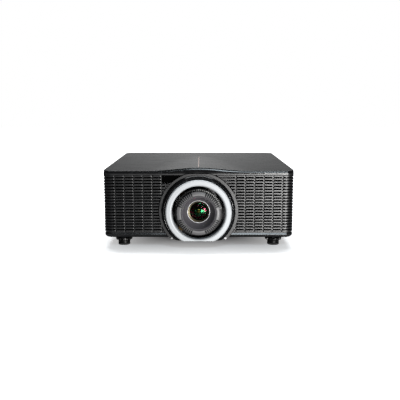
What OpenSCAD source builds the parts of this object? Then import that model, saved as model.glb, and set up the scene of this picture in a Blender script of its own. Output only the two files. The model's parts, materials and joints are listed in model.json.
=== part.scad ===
// Large-venue projector with a shifting zoom lens, cooling grilles and screw-adjustable feet.
// Millimetres. Origin at the centre of the footprint, on the surface the feet stand on.
// The lens looks along -Y, +Z is up and +X is to the right when facing the lens.

/* [Body] */
// Width over the side grilles
body_w = 488; // [470:1:500]
// Depth from the flat of the front face to the rear edge
body_d = 505; // [495:1:520]
// How far the lens ring stands in front of the front face
lens_proud = 24; // [22:1:30]
// Height of the underside above the floor, feet at their rest height
clearance_z = 28; // [27:0.5:32]
// Height of the lid's flat top above the underside
body_h = 173.3; // [168:0.1:176]
// Rise of the arched crown of the lid above its flat top
crown_h = 8.2; // [4:0.1:12]
// Half width of the arched crown at the front edge
crown_w = 132; // [110:1:150]
// Length of the crown from the front edge to its vanishing point
crown_l = 372; // [300:1:400]
// Radius of the vertical corners of the case
corner_r = 22; // [20:0.5:26]
// Thickness of the case walls
wall_t = 2.5; // [2:0.1:3]

/* [Front grille] */
// Number of fins in each grille
fin_count = 20; // [18:1:20]
// Distance from one fin to the next
fin_pitch = 7.5; // [7.2:0.1:7.6]
// Height of one fin
fin_h = 4.4; // [3.5:0.1:5]
// Depth of one fin
fin_d = 7; // [6:0.5:9]
// Distance between the upright grooves
groove_pitch = 23.75; // [20:0.25:26]
// Width of an upright groove
groove_w = 2.2; // [1.5:0.1:3]

/* [Lens rings] */
// Height of the centre of the rings above the floor
ring_z = 97; // [96:0.5:99]
// Outer radius of the grey rim of the front bezel
rim_r = 101; // [100:0.5:103]
// Outer radius of the black ring
black_r = 93.4; // [92:0.1:93.4]
// Outer radius of the silver ring
silver_r = 83.7; // [82:0.1:83.7]
// Inner radius of the silver ring
silver_bore_r = 68.3; // [67:0.1:70]
// Height of the flat cut across the bottom of the rings
chord_z = 24.7; // [24:0.1:28]

/* [Lens] */
// Height of the lens axis above the floor
lens_z = 95.5; // [95:0.5:97]
// Outer radius of the ribbed focus ring
grip_r = 55.6; // [54:0.1:56]
// Radius of the journal that the focus and zoom rings turn on
journal_r = 50; // [49:0.5:51]
// Outer radius of the sliding front lens cell
cell_r = 44; // [43:0.1:44.5]
// Clearance of each running fit on radius
fit = 0.06; // [0.03:0.01:0.09]
// Teeth on the focus and zoom rings, module 1
ring_teeth = 112; // [104:8:112]
// Teeth on each motor pinion, module 1
pinion_teeth = 14; // [12:1:16]

/* [Feet] */
// Distance of each foot from the centre line
foot_x = 198; // [190:1:200]
// Distance of each foot in front of or behind the centre
foot_y = 192.5; // [186:0.5:206]
// Outer radius of the foot's knurled flange
knob_r = 22; // [20:0.5:23]
// Radius of the threaded stud
stud_r = 5; // [4:0.5:6]

/* [Ceiling mount] */
// Distance between the mounting holes across the width
mount_w = 300; // [280:5:320]
// Distance between the mounting holes along the depth
mount_d = 240; // [220:5:260]
// Distance of the pattern's centre behind the middle
mount_y = 15; // [10:1:20]
// Radius of each M6 mounting hole
mount_r = 3; // [2.5:0.1:3.2]

/* [Hidden] */
$fn = 96;
total_d = body_d + lens_proud;
front_y = lens_proud - total_d / 2;
rear_y = total_d / 2;
floor_z = clearance_z;
tray_z = floor_z + 3;
lip_z = floor_z + 12;
lid_z = floor_z + body_h;
rail_z = lid_z - 11;
band_z = rail_z + 3.9;
seam = 0.3;
wrap_y = front_y + 36;
rim_back = 12;
edge_r = 8;
fin_z0 = lip_z + 3;
groove_x0 = 94.5;
groove_count = 6;
sink_z = 44;
rear_face = rear_y - 2.3;
rear_in = rear_face - wall_t;
board_z = 54;
panel_half = body_w / 2 - corner_r - seam;
io_x0 = -20;
io_top = 122;
key_z = 160;
pad_x = 105;
hdmi_x = [80, 106];
net_x = [20, 48];
inlet_x = 170;
inlet_z = 86;
fan_x = [-169, -73];
fan_y = 232;
fan_z = 106;
fan_r = 43;
focus_y = -228;
zoom_y = -214;
gear_w = 6;
frame_y = -154;
rod_r = 4;
rod_x = 92;
rod_y = -140;
cross_r = 3;
cross_y = -124.5;
plate_hole_r = 47;
tail_r = 42;
screw_r = 4;
motor_axis_r = (ring_teeth + pinion_teeth) / 2;
focus_angle = 225;
zoom_angle = 135;
engine_y = -95;
engine_w = 120;
engine_d = 130;
engine_top = 150;
wheel_x = 96;
wheel_y = -60;
wheel_z = 95;
tray_lip = 5;
lip_lean = 1.8;
boss_r = stud_r + 5;
boss_h = 32;
well_top = 36;
stud_top = 78;
pad_h = 4;
pad_r = 15.5;
post_r = 4;
post_top = 9.6;
flange_z = 13.6;
flange_h = 6.4;
screw_hole_r = 1.7;
slot_pitch = 8;
side_slots = 12;
side_slot_l = 70;
window_x = -92.9;
window_z = 170.5;
hood_y = -263.5;
cell_y = -261.5;
journal_y = -258;
seat_y = -231.1;
glass_back = -226;
flange_y = zoom_y + gear_w + 4;
motor_y = flange_y + 3;
lift_x = 110;
plate_half = 87;
plate_z = 45;
upper_rod_z = 152;
cross_screw_z = 168;
psu_lo = [-215, -145, sink_z + 1];
psu_hi = [-112, 60, 112];
laser_lo = [72, -30, sink_z];
laser_hi = [176, 80, 120];
sink_back = 122;
sink_top = 132;
board_lo = [-15, 128, board_z - 1.6];
board_hi = [175, 246, board_z];

// ---- shared shapes ----

// Plan outline of the case, moved in by inset all round
module plan(inset = 0) {
    half_w = body_w / 2 - inset;
    y0 = front_y + inset;
    y1 = rear_y - inset;
    r = corner_r - inset;
    translate([-half_w, y0 + r])
        square([2 * half_w, y1 - y0 - 2 * r]);
    translate([r - half_w, y0])
        square([2 * (half_w - r), y1 - y0]);
    for (x = [r - half_w, half_w - r], y = [y0 + r, y1 - r])
        translate([x, y])
            circle(r);
}

// Plan of a wall from depth d0 to d1 behind the outline
module plan_wall(d0, d1) {
    difference() {
        plan(d0);
        plan(d1);
    }
}

// Raises a plan from z0 to z1
module slab(z0, z1) {
    translate([0, 0, z0])
        linear_extrude(z1 - z0)
            children();
}

// Extrudes a front view, drawn in X and Z, from y0 back to y1
module facing(y0, y1) {
    translate([0, y1, 0])
        rotate([90, 0, 0])
            linear_extrude(y1 - y0)
                children();
}

// Box between two opposite corners
module block(a, b) {
    translate(a)
        cube(b - a);
}

// Solid turned about a line along Y; each point is [radius, y]
module turned(points, z = lens_z, x = 0) {
    translate([x, 0, z])
        rotate([90, 0, 0])
            rotate_extrude($fn = 128)
                polygon([for (p = points) [p[0], -p[1]]]);
}

// Straight round bar along Y
module bar_y(y0, y1, r, z, x) {
    translate([x, y1, z])
        rotate([90, 0, 0])
            cylinder(h = y1 - y0, r = r);
}

// Straight round bar along X
module bar_x(x0, x1, r, y, z) {
    translate([x0, y, z])
        rotate([0, 90, 0])
            cylinder(h = x1 - x0, r = r);
}

// Front half of the case in plan, from the front face back to the end of the grilles
module front_zone() {
    translate([-body_w, front_y - 1])
        square([2 * body_w, wrap_y - front_y + 1]);
}

// Everything above the flat cut of the lens rings
module above_chord() {
    translate([-200, chord_z])
        square([400, band_z - seam - chord_z]);
}

// Height of the crown above the flat lid at x across and y behind the front edge
function crown_half(y) = crown_w * sqrt(max(0.02, 1 - y / crown_l));
function crown_fade(y) = pow(max(0, 1 - y / crown_l), 1.2);
function crown(x, y) =
    abs(x) >= crown_half(y) ? 0
    : crown_h * crown_fade(y) * (1 + cos(180 * x / crown_half(y))) / 2;

// ---- case ----

module foot_places() {
    for (x = [-foot_x, foot_x], y = [-foot_y, foot_y])
        translate([x, y, 0])
            children();
}

module mount_places() {
    for (x = [-mount_w / 2, mount_w / 2], y = [-mount_d / 2, mount_d / 2])
        translate([x, mount_y + y, 0])
            children();
}

module base_tray() {
    color([0.12, 0.12, 0.13])
    difference() {
        union() {
            difference() {
                hull() {
                    for (a = [0:22.5:90])
                        slab(floor_z + edge_r * (1 - cos(a)), floor_z + edge_r + 0.3)
                            plan(edge_r * (1 - sin(a)), $fn = 32);
                    slab(lip_z - 0.2, lip_z)
                        plan(lip_lean, $fn = 32);
                }
                slab(tray_z, lip_z + 1)
                    plan(tray_lip + 4);
                slab(tray_z + 3, lip_z + 1)
                    plan(tray_lip);
            }
            chin();
            foot_places()
                translate([0, 0, tray_z - 1])
                    cylinder(h = well_top + 4 - tray_z, r = knob_r + 6);
            foot_places()
                translate([0, 0, well_top + 2])
                    cylinder(h = boss_h, r = boss_r);
            mount_places()
                translate([0, 0, tray_z - 1])
                    cylinder(h = sink_z - tray_z + 1, r = mount_r + 5);
        }
        foot_places()
            translate([0, 0, floor_z - 1])
                cylinder(h = well_top + 1 - floor_z, r = knob_r + 2);
        foot_places()
            translate([0, 0, floor_z])
                cylinder(h = 50, r = stud_r + fit);
        mount_places()
            translate([0, 0, floor_z - 1])
                cylinder(h = 13, r = mount_r);
        bar_y(front_y - 10, front_y + rim_back + seam, rim_r + seam, ring_z, 0);
    }
}

// Keel behind the rim of the lens rings, fading back into the flat underside
module chin() {
    half = sqrt(pow(rim_r, 2) - pow(ring_z - chord_z, 2));
    hull() {
        block(
            [-half, front_y + rim_back + seam, chord_z],
            [half, front_y + rim_back + 2, floor_z + 2]
        );
        block([-half - 8, front_y + rim_back + seam, floor_z], [half + 8, front_y + 22, floor_z + 2]);
        block([-half * 0.6, front_y + 96, floor_z], [half * 0.6, front_y + 98, floor_z + 2]);
    }
}

// Round rim round the lens rings, with a top rail and a lower rail that wrap the corners
module front_bezel() {
    color([0.22, 0.22, 0.23])
    difference() {
        union() {
            slab(rail_z, band_z - seam)
                intersection() {
                    plan_wall(0, fin_d + 4);
                    front_zone();
                }
            slab(lip_z + 0.2, fin_z0 - 0.6)
                intersection() {
                    plan_wall(3, fin_d + 4);
                    front_zone();
                }
            facing(front_y - 6, front_y + rim_back)
                intersection() {
                    translate([0, ring_z])
                        circle(rim_r);
                    above_chord();
                }
        }
        bar_y(front_y - 10, front_y + 40, black_r + seam, ring_z, 0);
        rim_screw_places()
            cylinder(h = 20, r = screw_hole_r, center = true);
    }
}

module rim_screw_places() {
    mid_r = (rim_r + black_r) / 2;
    for (a = [-45, 225])
        translate([mid_r * cos(a), front_y - 6, ring_z + mid_r * sin(a)])
            rotate([90, 0, 0])
                children();
}

// Glossy band under the lid; its top edge rises with the crown
module front_band() {
    color([0.05, 0.05, 0.05])
    intersection() {
        slab(band_z, lid_z + 20)
            intersection() {
                plan_wall(0, 3);
                front_zone();
            }
        facing(front_y - 1, wrap_y + 1)
            polygon(concat(
                [[body_w, band_z], [-body_w, band_z], [-body_w, lid_z - 1.3]],
                [for (x = [-crown_w:6:crown_w]) [x, lid_z - 1.3 + crown(x, 0)]],
                [[body_w, lid_z - 1.3]]
            ));
    }
}

// Grille on the -X side: fins with upright grooves, tied together by ribs behind them
module grille() {
    difference() {
        union() {
            for (i = [0:fin_count - 1])
                slab(fin_z0 + i * fin_pitch, fin_z0 + i * fin_pitch + fin_h)
                    fin_plan();
            slab(fin_z0, fin_z0 + (fin_count - 1) * fin_pitch + fin_h)
                rib_plan();
        }
        bar_y(front_y - 10, front_y + 30, rim_r + seam, ring_z, 0);
    }
}

module fin_plan() {
    difference() {
        intersection() {
            plan_wall(0, fin_d);
            translate([-body_w / 2, front_y])
                square([body_w / 2 - 30, wrap_y - front_y]);
        }
        for (k = [0:groove_count - 1])
            translate([-groove_x0 - k * groove_pitch - groove_w / 2, front_y - 1])
                square([groove_w, 3]);
    }
}

module rib_plan() {
    for (k = [0:groove_count - 1])
        translate([-groove_x0 - k * groove_pitch - 1.5, front_y + 3])
            square([3, fin_d - 3]);
    translate([5 - body_w / 2, wrap_y - 3])
        square([fin_d - 5, 3]);
}

module window_box(gap) {
    block([window_x - gap, front_y - 1, window_z - seam], [-30, front_y + 12, rail_z - 0.1]);
}

module grille_left() {
    color([0.2, 0.2, 0.21])
    difference() {
        grille();
        window_box(2 * seam + 0.1);
    }
}

module grille_right() {
    color([0.3, 0.3, 0.31])
        mirror([1, 0, 0])
            grille();
}

// Two foam dust filters behind the grilles
module filter_panels() {
    color([0.06, 0.06, 0.06])
    for (side = [-1, 1])
        difference() {
            block(
                [side * 164 - 62, front_y + 14, tray_z + 6.2],
                [side * 164 + 62, front_y + 20, rail_z - 1]
            );
            bar_y(front_y, front_y + 40, rim_r + 3, ring_z, 0);
        }
}

// Lid: a flat sheet with a rebated rim, and a thin crowned sheet let into its front
module top_cover() {
    color([0.25, 0.25, 0.26]) {
        difference() {
            union() {
                slab(lid_z - 2.4, lid_z)
                    plan(3.3);
                slab(lid_z - 1, lid_z)
                    plan();
            }
            translate([-crown_w - 4, front_y - 1, lid_z - 5])
                cube([2 * crown_w + 8, crown_l - 3, 10]);
        }
        crown_sheet();
    }
}

// Thin sheet over the crown; its edges dip into the flat lid around it
module crown_sheet() {
    half = crown_w + 6;
    len = crown_l - 2;
    nx = 44;
    ny = 26;
    function gx(i) = -half + 2 * half * i / nx;
    function gy(j) = len * j / ny;
    function gz(i, j) = lid_z + crown(gx(i), gy(j)) - ((i == 0 || i == nx || j == ny) ? 0.4 : 0.02);
    n = (nx + 1) * (ny + 1);
    function at(i, j, s) = s * n + j * (nx + 1) + i;
    points = [
        for (s = [0, 1], j = [0:ny], i = [0:nx])
            [gx(i), front_y + gy(j), gz(i, j) - (s == 0 ? 0 : 1)]
    ];
    cells = [for (j = [0:ny - 1], i = [0:nx - 1]) [i, j]];
    faces = concat(
        [for (c = cells) [at(c[0], c[1], 0), at(c[0] + 1, c[1] + 1, 0), at(c[0] + 1, c[1], 0)]],
        [for (c = cells) [at(c[0], c[1], 0), at(c[0], c[1] + 1, 0), at(c[0] + 1, c[1] + 1, 0)]],
        [for (c = cells) [at(c[0], c[1], 1), at(c[0] + 1, c[1], 1), at(c[0] + 1, c[1] + 1, 1)]],
        [for (c = cells) [at(c[0], c[1], 1), at(c[0] + 1, c[1] + 1, 1), at(c[0], c[1] + 1, 1)]],
        [for (i = [0:nx - 1]) [at(i, 0, 0), at(i + 1, 0, 0), at(i + 1, 0, 1), at(i, 0, 1)]],
        [for (i = [0:nx - 1]) [at(i, ny, 1), at(i + 1, ny, 1), at(i + 1, ny, 0), at(i, ny, 0)]],
        [for (j = [0:ny - 1]) [at(0, j, 1), at(0, j + 1, 1), at(0, j + 1, 0), at(0, j, 0)]],
        [for (j = [0:ny - 1]) [at(nx, j, 0), at(nx, j + 1, 0), at(nx, j + 1, 1), at(nx, j, 1)]]
    );
    polyhedron(points, faces);
}

// Distance behind the front edge of point i of 28 along the inlaid line
function trim_at(i) = 20 + i * (crown_l - 42) / 28;

// Inlaid line along the top of the crown, following its fall
module trim_line() {
    color([0.75, 0.7, 0.68])
    translate([-0.8, 0, 0])
        rotate([90, 0, 90])
            linear_extrude(1.6)
                polygon(concat(
                    [for (i = [0:28]) [front_y + trim_at(i), lid_z + 0.2 + crown(0, trim_at(i))]],
                    [for (i = [28:-1:0]) [front_y + trim_at(i), lid_z - 0.02 + crown(0, trim_at(i))]]
                ));
}

module side_panel() {
    difference() {
        slab(lip_z + 0.2, lid_z - 2.5)
            intersection() {
                plan_wall(0, wall_t);
                translate([-body_w / 2, wrap_y + seam])
                    square([corner_r, rear_y - wrap_y]);
            }
        for (y = [-170, -60, 50, 160], i = [0:side_slots - 1])
            block(
                [-body_w, y, 70 + slot_pitch * i],
                [10 - body_w / 2, y + side_slot_l, 73 + slot_pitch * i]
            );
    }
}

module left_side_panel() {
    color([0.16, 0.16, 0.17])
        side_panel();
}

module right_side_panel() {
    color([0.16, 0.16, 0.17])
        mirror([1, 0, 0])
            side_panel();
}

// ---- rear ----

module panel_screw_places() {
    for (p = [[-210, 190], [0, 190], [210, 190], [-210, 50], [-28, 50]])
        translate([p[0], rear_face, p[1]])
            rotate([90, 0, 0])
                children();
}

module io_screw_places() {
    for (p = [[-10, 50], [210, 50], [-10, 112], [210, 112]])
        translate([p[0], rear_face, p[1]])
            rotate([90, 0, 0])
                children();
}

module rear_panel() {
    color([0.15, 0.15, 0.16])
    difference() {
        union() {
            facing(rear_in, rear_face)
                difference() {
                    translate([-panel_half, lip_z + 0.2])
                        square([2 * panel_half, lid_z - 2.7 - lip_z]);
                    translate([io_x0, 0])
                        square([body_w, io_top]);
                }
            for (x = [-panel_half, panel_half - 2])
                block([x, rear_in, x < 0 ? lip_z + 0.2 : io_top], [x + 2, rear_y, lid_z - 2.5]);
        }
        for (x = fan_x, i = [0:10])
            block(
                [x - vent_half(i), rear_in - 1, fan_z - 42 + slot_pitch * i],
                [x + vent_half(i), rear_face + 1, fan_z - 38.2 + slot_pitch * i]
            );
        facing(rear_in - 1, rear_face + 1)
            key_shapes(0.3);
        panel_screw_places()
            cylinder(h = 30, r = screw_hole_r, center = true);
        status_places()
            bar_y(rear_in - 1, rear_face + 1, 1.8, 0, 0);
    }
}

// Half length of fan vent slot i, so that the slots fill a circle
function vent_half(i) = sqrt(pow(fan_r, 2) - pow(slot_pitch * (i - 5), 2));

module status_places() {
    for (x = [160, 172, 184])
        translate([x, 0, key_z + 14])
            children();
}

module port_windows(gap) {
    for (x = hdmi_x)
        translate([x - 9 - gap, board_z - gap])
            square([18 + 2 * gap, 9 + 2 * gap]);
    for (x = net_x)
        translate([x - 8 - gap, board_z - gap])
            square([16 + 2 * gap, 15 + 2 * gap]);
    translate([inlet_x - 16 - gap, inlet_z - 13 - gap])
        square([32 + 2 * gap, 26 + 2 * gap]);
}

module io_plate() {
    color([0.45, 0.46, 0.48])
    difference() {
        facing(rear_in, rear_face)
            difference() {
                translate([io_x0 + seam, lip_z + 0.2])
                    square([panel_half - 2.5 - io_x0, io_top - seam - lip_z - 0.2]);
                port_windows(seam);
            }
        io_screw_places()
            cylinder(h = 30, r = screw_hole_r, center = true);
    }
}

// Pan-head case screws, all one size
module case_screws() {
    color("silver") {
        panel_screw_places()
            screw();
        io_screw_places()
            screw();
        rim_screw_places()
            rotate([180, 0, 0])
                screw();
    }
}

// Screw with its head on the -Z side of the origin and its shank along +Z
module screw(length = 5) {
    difference() {
        translate([0, 0, -1.8])
            cylinder(h = 1.8, r = 2.6);
        translate([0, 0, -1.9])
            cylinder(h = 1, r = 1.4, $fn = 6);
    }
    translate([0, 0, -0.1])
        cylinder(h = length + 0.1, r = 1.5);
}

module ir_window() {
    color([0.02, 0.02, 0.02])
    difference() {
        block([window_x, front_y + 0.3, window_z], [-34, front_y + 3, rail_z - 0.2]);
        bar_y(front_y - 10, front_y + 30, rim_r + seam, ring_z, 0);
    }
}

// ---- lens rings ----

module black_ring() {
    color([0.03, 0.03, 0.03])
    intersection() {
        turned([
            [silver_r + 0.4, front_y - 18], [black_r - 2, front_y - 18], [black_r, front_y - 16],
            [black_r, front_y + 10], [silver_bore_r + 2, front_y + 10],
            [silver_bore_r + 2, front_y - 2.7], [silver_r + 0.4, front_y - 2.7]
        ], ring_z);
        facing(front_y - 40, front_y + 40)
            above_chord();
    }
}

module silver_ring() {
    color([0.85, 0.88, 0.9])
    intersection() {
        turned([
            [silver_bore_r + 2.5, -total_d / 2], [silver_r - 2.5, -total_d / 2],
            [silver_r, 2.5 - total_d / 2], [silver_r, front_y - 3],
            [silver_bore_r, front_y - 3], [silver_bore_r, 2.5 - total_d / 2]
        ], ring_z);
        facing(front_y - 40, front_y + 40)
            above_chord();
    }
}

// ---- lens ----

// Full gear with involute-like flanks, drawn round the origin
module gear_2d(teeth, backlash = 0.12) {
    pitch_r = teeth / 2;
    root_r = pitch_r - 1.25;
    tip_r = pitch_r + 0.95;
    root_half = 360 / teeth / 4 * 1.45;
    pitch_half = 360 / teeth / 4 - backlash * 57.3 / pitch_r / 2;
    tip_half = pitch_half * 0.45;
    polygon([
        for (i = [0:teeth - 1])
            for (p = [[root_r, -root_half], [pitch_r, -pitch_half], [tip_r, -tip_half],
                      [tip_r, tip_half], [pitch_r, pitch_half], [root_r, root_half]])
                let (a = 360 * i / teeth + p[1])
                    [p[0] * cos(a), p[0] * sin(a)]
    ]);
}

module lens_gear(y0, teeth, bore, turn = 0) {
    translate([0, y0 + gear_w, 0])
        rotate([90, 0, 0])
            linear_extrude(gear_w)
                difference() {
                    rotate(turn)
                        gear_2d(teeth);
                    circle(bore);
                }
}

module at_lens(angle = 0, radius = 0) {
    translate([radius * cos(angle), 0, lens_z + radius * sin(angle)])
        children();
}

// Fixed barrel: journals for the two rings at the front, mounting flange and tail behind
module lens_barrel() {
    color([0.1, 0.1, 0.1])
    difference() {
        union() {
            turned([
                [cell_r + fit, journal_y], [journal_r, journal_y], [journal_r, flange_y],
                [journal_r + 6, flange_y], [journal_r + 6, motor_y],
                [tail_r, motor_y], [tail_r, cross_y - 6.5],
                [tail_r + 3, cross_y - 6.5], [tail_r + 3, cross_y - 3.5],
                [38, cross_y - 3.5], [38, engine_y - 20],
                [34, engine_y - 20], [34, -196], [cell_r + fit, -215]
            ]);
            for (a = [focus_angle, zoom_angle])
                at_lens(a, motor_axis_r)
                    bar_y(flange_y, motor_y, 10.5, 0, 0);
        }
        for (a = [focus_angle, zoom_angle])
            at_lens(a, motor_axis_r)
                bar_y(-220, -190, 2.5, 0, 0);
    }
}

// Two gear motors bolted behind the barrel's front flange
module lens_motors() {
    color([0.6, 0.6, 0.62])
    for (a = [focus_angle, zoom_angle])
        at_lens(a, motor_axis_r)
            difference() {
                bar_y(motor_y, motor_y + 38, 9.5, 0, 0);
                bar_y(motor_y - 1, motor_y + 13, 2 + fit, 0, 0);
            }
}

// Ribbed focus ring with its gear at the rear
module focus_ring() {
    color([0.4, 0.4, 0.41]) {
        turned([
            [cell_r + 0.6, hood_y], [grip_r - 1, hood_y], [grip_r, hood_y + 1],
            [grip_r, focus_y - 1.5], [grip_r - 2, focus_y - 1.5],
            [grip_r - 2, focus_y + 0.5], [journal_r + fit, focus_y + 0.5],
            [journal_r + fit, journal_y - 0.6], [cell_r + 0.6, journal_y - 0.6]
        ]);
        at_lens()
            lens_gear(focus_y, ring_teeth, journal_r + fit);
    }
}

module zoom_ring() {
    color([0.12, 0.12, 0.12]) {
        at_lens()
            lens_gear(zoom_y, ring_teeth, journal_r + fit);
        turned([
            [journal_r + fit, focus_y + gear_w + 0.6], [grip_r - 1, focus_y + gear_w + 0.6],
            [grip_r - 1, zoom_y + 1], [journal_r + fit, zoom_y + 1]
        ]);
    }
}

// Pinion on its motor shaft; turn puts a gap of the ring between two of its teeth
module pinion(angle, gear_y) {
    at_lens(angle, motor_axis_r) {
        lens_gear(gear_y, pinion_teeth, 1.9, angle + 180 + 180 / pinion_teeth);
        bar_y(gear_y - 1, motor_y + 11, 2, 0, 0);
    }
}

module focus_pinion() {
    color("goldenrod")
        pinion(focus_angle, focus_y);
}

module zoom_pinion() {
    color("goldenrod")
        pinion(zoom_angle, zoom_y);
}

// Sliding cell with the conical hood that holds the front element
module front_cell() {
    color([0.3, 0.28, 0.31])
    turned([
        [cell_r - 0.6, cell_y], [cell_r, cell_y], [cell_r, glass_back],
        [24, glass_back], [24, seat_y + 0.6], [29.4, seat_y + 0.6], [29.4, seat_y - 5.9]
    ]);
}

module retaining_ring() {
    color("silver")
    turned([
        [28, seat_y - 7.1], [29.3, seat_y - 7.1], [29.3, seat_y], [23.4, seat_y], [23.4, seat_y - 0.9]
    ]);
}

// Front element, convex at the front and flat behind
module front_glass() {
    dome_r = 48;
    element_r = 23.2;
    front = -236;
    color([0.2, 0.3, 0.25, 0.6])
    intersection() {
        translate([0, front + dome_r, lens_z])
            sphere(dome_r, $fn = 128);
        bar_y(front - 1, glass_back - 0.2, element_r, lens_z, 0);
    }
}

// ---- lens shift ----

// Fixed frame with two upright guide rods and the bearings of the vertical screw
module shift_frame() {
    color([0.5, 0.5, 0.52])
    difference() {
        union() {
            facing(frame_y, frame_y + 4)
                difference() {
                    translate([-122, tray_z])
                        square([244, 155]);
                    translate([0, lens_z])
                        circle(52);
                }
            for (x = [-rod_x, rod_x], z = [tray_z, 182])
                block([x - 7, frame_y, z], [x + 7, rod_y + 7, z + 6]);
            for (x = [-rod_x, rod_x])
                translate([x, rod_y, tray_z])
                    cylinder(h = 154, r = rod_r);
            for (z = [50, 146])
                block([lift_x - 8, frame_y, z], [lift_x + 8, rod_y + 7, z + 4]);
        }
        translate([lift_x, rod_y, 45])
            cylinder(h = 150, r = screw_r + fit);
    }
}

module vertical_motor() {
    color([0.25, 0.25, 0.27])
    difference() {
        translate([lift_x, rod_y, 150])
            cylinder(h = 30, r = 9.5);
        translate([lift_x, rod_y, 149])
            cylinder(h = 12, r = screw_r + fit);
    }
}

module vertical_screw() {
    color([0.8, 0.8, 0.8])
        translate([lift_x, rod_y, 48])
            cylinder(h = 110, r = screw_r);
}

// Plate that rides up and down the rods and carries the cross rods
module vertical_carriage() {
    y0 = rod_y - 4;
    color([0.45, 0.45, 0.5])
    difference() {
        union() {
            facing(y0, y0 + 7)
                difference() {
                    translate([-plate_half, plate_z])
                        square([2 * plate_half, 117]);
                    translate([0, lens_z])
                        circle(plate_hole_r);
                }
            for (x = [-rod_x, rod_x], z = [60, 120])
                block([x - 8, rod_y - 8, z], [x + 8, rod_y + 8, z + 22]);
            block([84, rod_y - 8, 92], [lift_x + 8, rod_y + 8, 104]);
            for (x = [-84, 76], z = [plate_z, upper_rod_z])
                block([x, y0 + 6, z - 4], [x + 8, cross_y + 5, z + 4]);
            for (z = [plate_z, upper_rod_z])
                bar_x(-80, 80, cross_r, cross_y, z);
            for (x = [-64, 60])
                block([x, y0, 159], [x + 4, cross_y + 5, 178]);
        }
        for (x = [-rod_x, rod_x])
            translate([x, rod_y, 30])
                cylinder(h = 180, r = rod_r + fit);
        translate([lift_x, rod_y, 80])
            cylinder(h = 40, r = screw_r + fit);
        bar_x(-70, 70, cross_r + fit, cross_y, cross_screw_z);
    }
}

module horizontal_motor() {
    color([0.25, 0.25, 0.27])
    difference() {
        bar_x(-86, -64, 10, cross_y, 170);
        bar_x(-75, -63, cross_r + fit, cross_y, cross_screw_z);
    }
}

module horizontal_screw() {
    color([0.8, 0.8, 0.8])
        bar_x(-74, 63, cross_r, cross_y, cross_screw_z);
}

// Plate that slides sideways on the cross rods and holds the lens
module horizontal_carriage() {
    color([0.5, 0.5, 0.55])
    difference() {
        union() {
            facing(cross_y - 3.5, cross_y + 3.5)
                translate([-68, 40])
                    square([136, 118]);
            for (z = [plate_z, upper_rod_z])
                block([-66, cross_y - 6, z - 5], [66, cross_y + 6, z + 5]);
            block([-12, cross_y - 5, 156], [12, cross_y + 5, 174]);
        }
        bar_y(cross_y - 10, cross_y + 10, 38.3, lens_z, 0);
        for (z = [plate_z, upper_rod_z])
            bar_x(-90, 90, cross_r + fit, cross_y, z);
        bar_x(-90, 90, cross_r + fit, cross_y, cross_screw_z);
    }
}

// ---- light source, boards and cooling ----

// Four legs that stand a module on the tray
module legs(x0, x1, y0, y1, top) {
    for (x = [x0 + 8, x1 - 8], y = [y0 + 8, y1 - 8])
        translate([x, y, tray_z])
            cylinder(h = top - tray_z, r = 4);
}

// Imaging engine: a cast box with its output tube and the bracket of the phosphor wheel
module light_engine() {
    half = engine_w / 2;
    color([0.55, 0.55, 0.56])
    difference() {
        union() {
            block([-half, engine_y, sink_z], [half, engine_y + engine_d, engine_top]);
            legs(-half, half, engine_y, engine_y + engine_d, sink_z + 1);
            bar_y(engine_y - 14, engine_y + 1, 28, lens_z, 0);
            block([half - 1, wheel_y + 8, wheel_z - 10], [wheel_x + 10, wheel_y + 13, wheel_z + 10]);
        }
        block([6 - half, engine_y + 6, sink_z + 6], [half - 6, engine_y + engine_d - 6, engine_top - 6]);
        bar_y(engine_y - 15, engine_y + 7, 22, lens_z, 0);
        bar_y(wheel_y + 5, wheel_y + 20, 2.5 + fit, wheel_z, wheel_x);
    }
}

module phosphor_wheel() {
    color("khaki") {
        bar_y(wheel_y - 1, wheel_y + 1, 32, wheel_z, wheel_x);
        bar_y(wheel_y - 3, wheel_y + 7, 11, wheel_z, wheel_x);
        bar_y(wheel_y, wheel_y + 12, 2.5, wheel_z, wheel_x);
    }
}

module laser_module() {
    color([0.3, 0.32, 0.4]) {
        block(laser_lo, laser_hi);
        legs(laser_lo.x, laser_hi.x, laser_lo.y, laser_hi.y, sink_z + 1);
        bar_y(-42, -29, 12, 95, 124);
    }
}

module heatsink() {
    color([0.75, 0.76, 0.78]) {
        block([laser_lo.x, laser_hi.y + 0.2, sink_z], [laser_hi.x, laser_hi.y + 8, sink_top]);
        for (x = [laser_lo.x:6:laser_hi.x - 2])
            block([x, laser_hi.y + 7, sink_z], [x + 2, sink_back, sink_top]);
        legs(laser_lo.x, laser_hi.x, laser_hi.y, laser_hi.y + 16, sink_z + 1);
    }
}

module main_board() {
    color([0.05, 0.35, 0.15]) {
        block(board_lo, board_hi);
        for (x = [board_lo.x + 6, board_hi.x - 6], y = [board_lo.y + 6, board_hi.y - 6])
            translate([x, y, tray_z])
                cylinder(h = board_z - 1 - tray_z, r = 3.5);
        for (p = [[20, 160, 30], [75, 165, 24], [120, 160, 28]])
            block([p[0], p[1], board_z - 0.1], [p[0] + p[2], p[1] + p[2], board_z + 4]);
    }
}

module power_supply() {
    color([0.6, 0.6, 0.6])
    difference() {
        union() {
            block(psu_lo, psu_hi);
            legs(psu_lo.x, psu_hi.x, psu_lo.y, psu_hi.y, psu_lo.z + 1);
        }
        for (i = [0:9])
            block(
                [psu_lo.x + 10 + 9 * i, psu_lo.y + 15, psu_hi.z - 2],
                [psu_lo.x + 14 + 9 * i, psu_hi.y - 15, psu_hi.z + 1]
            );
    }
}

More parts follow.
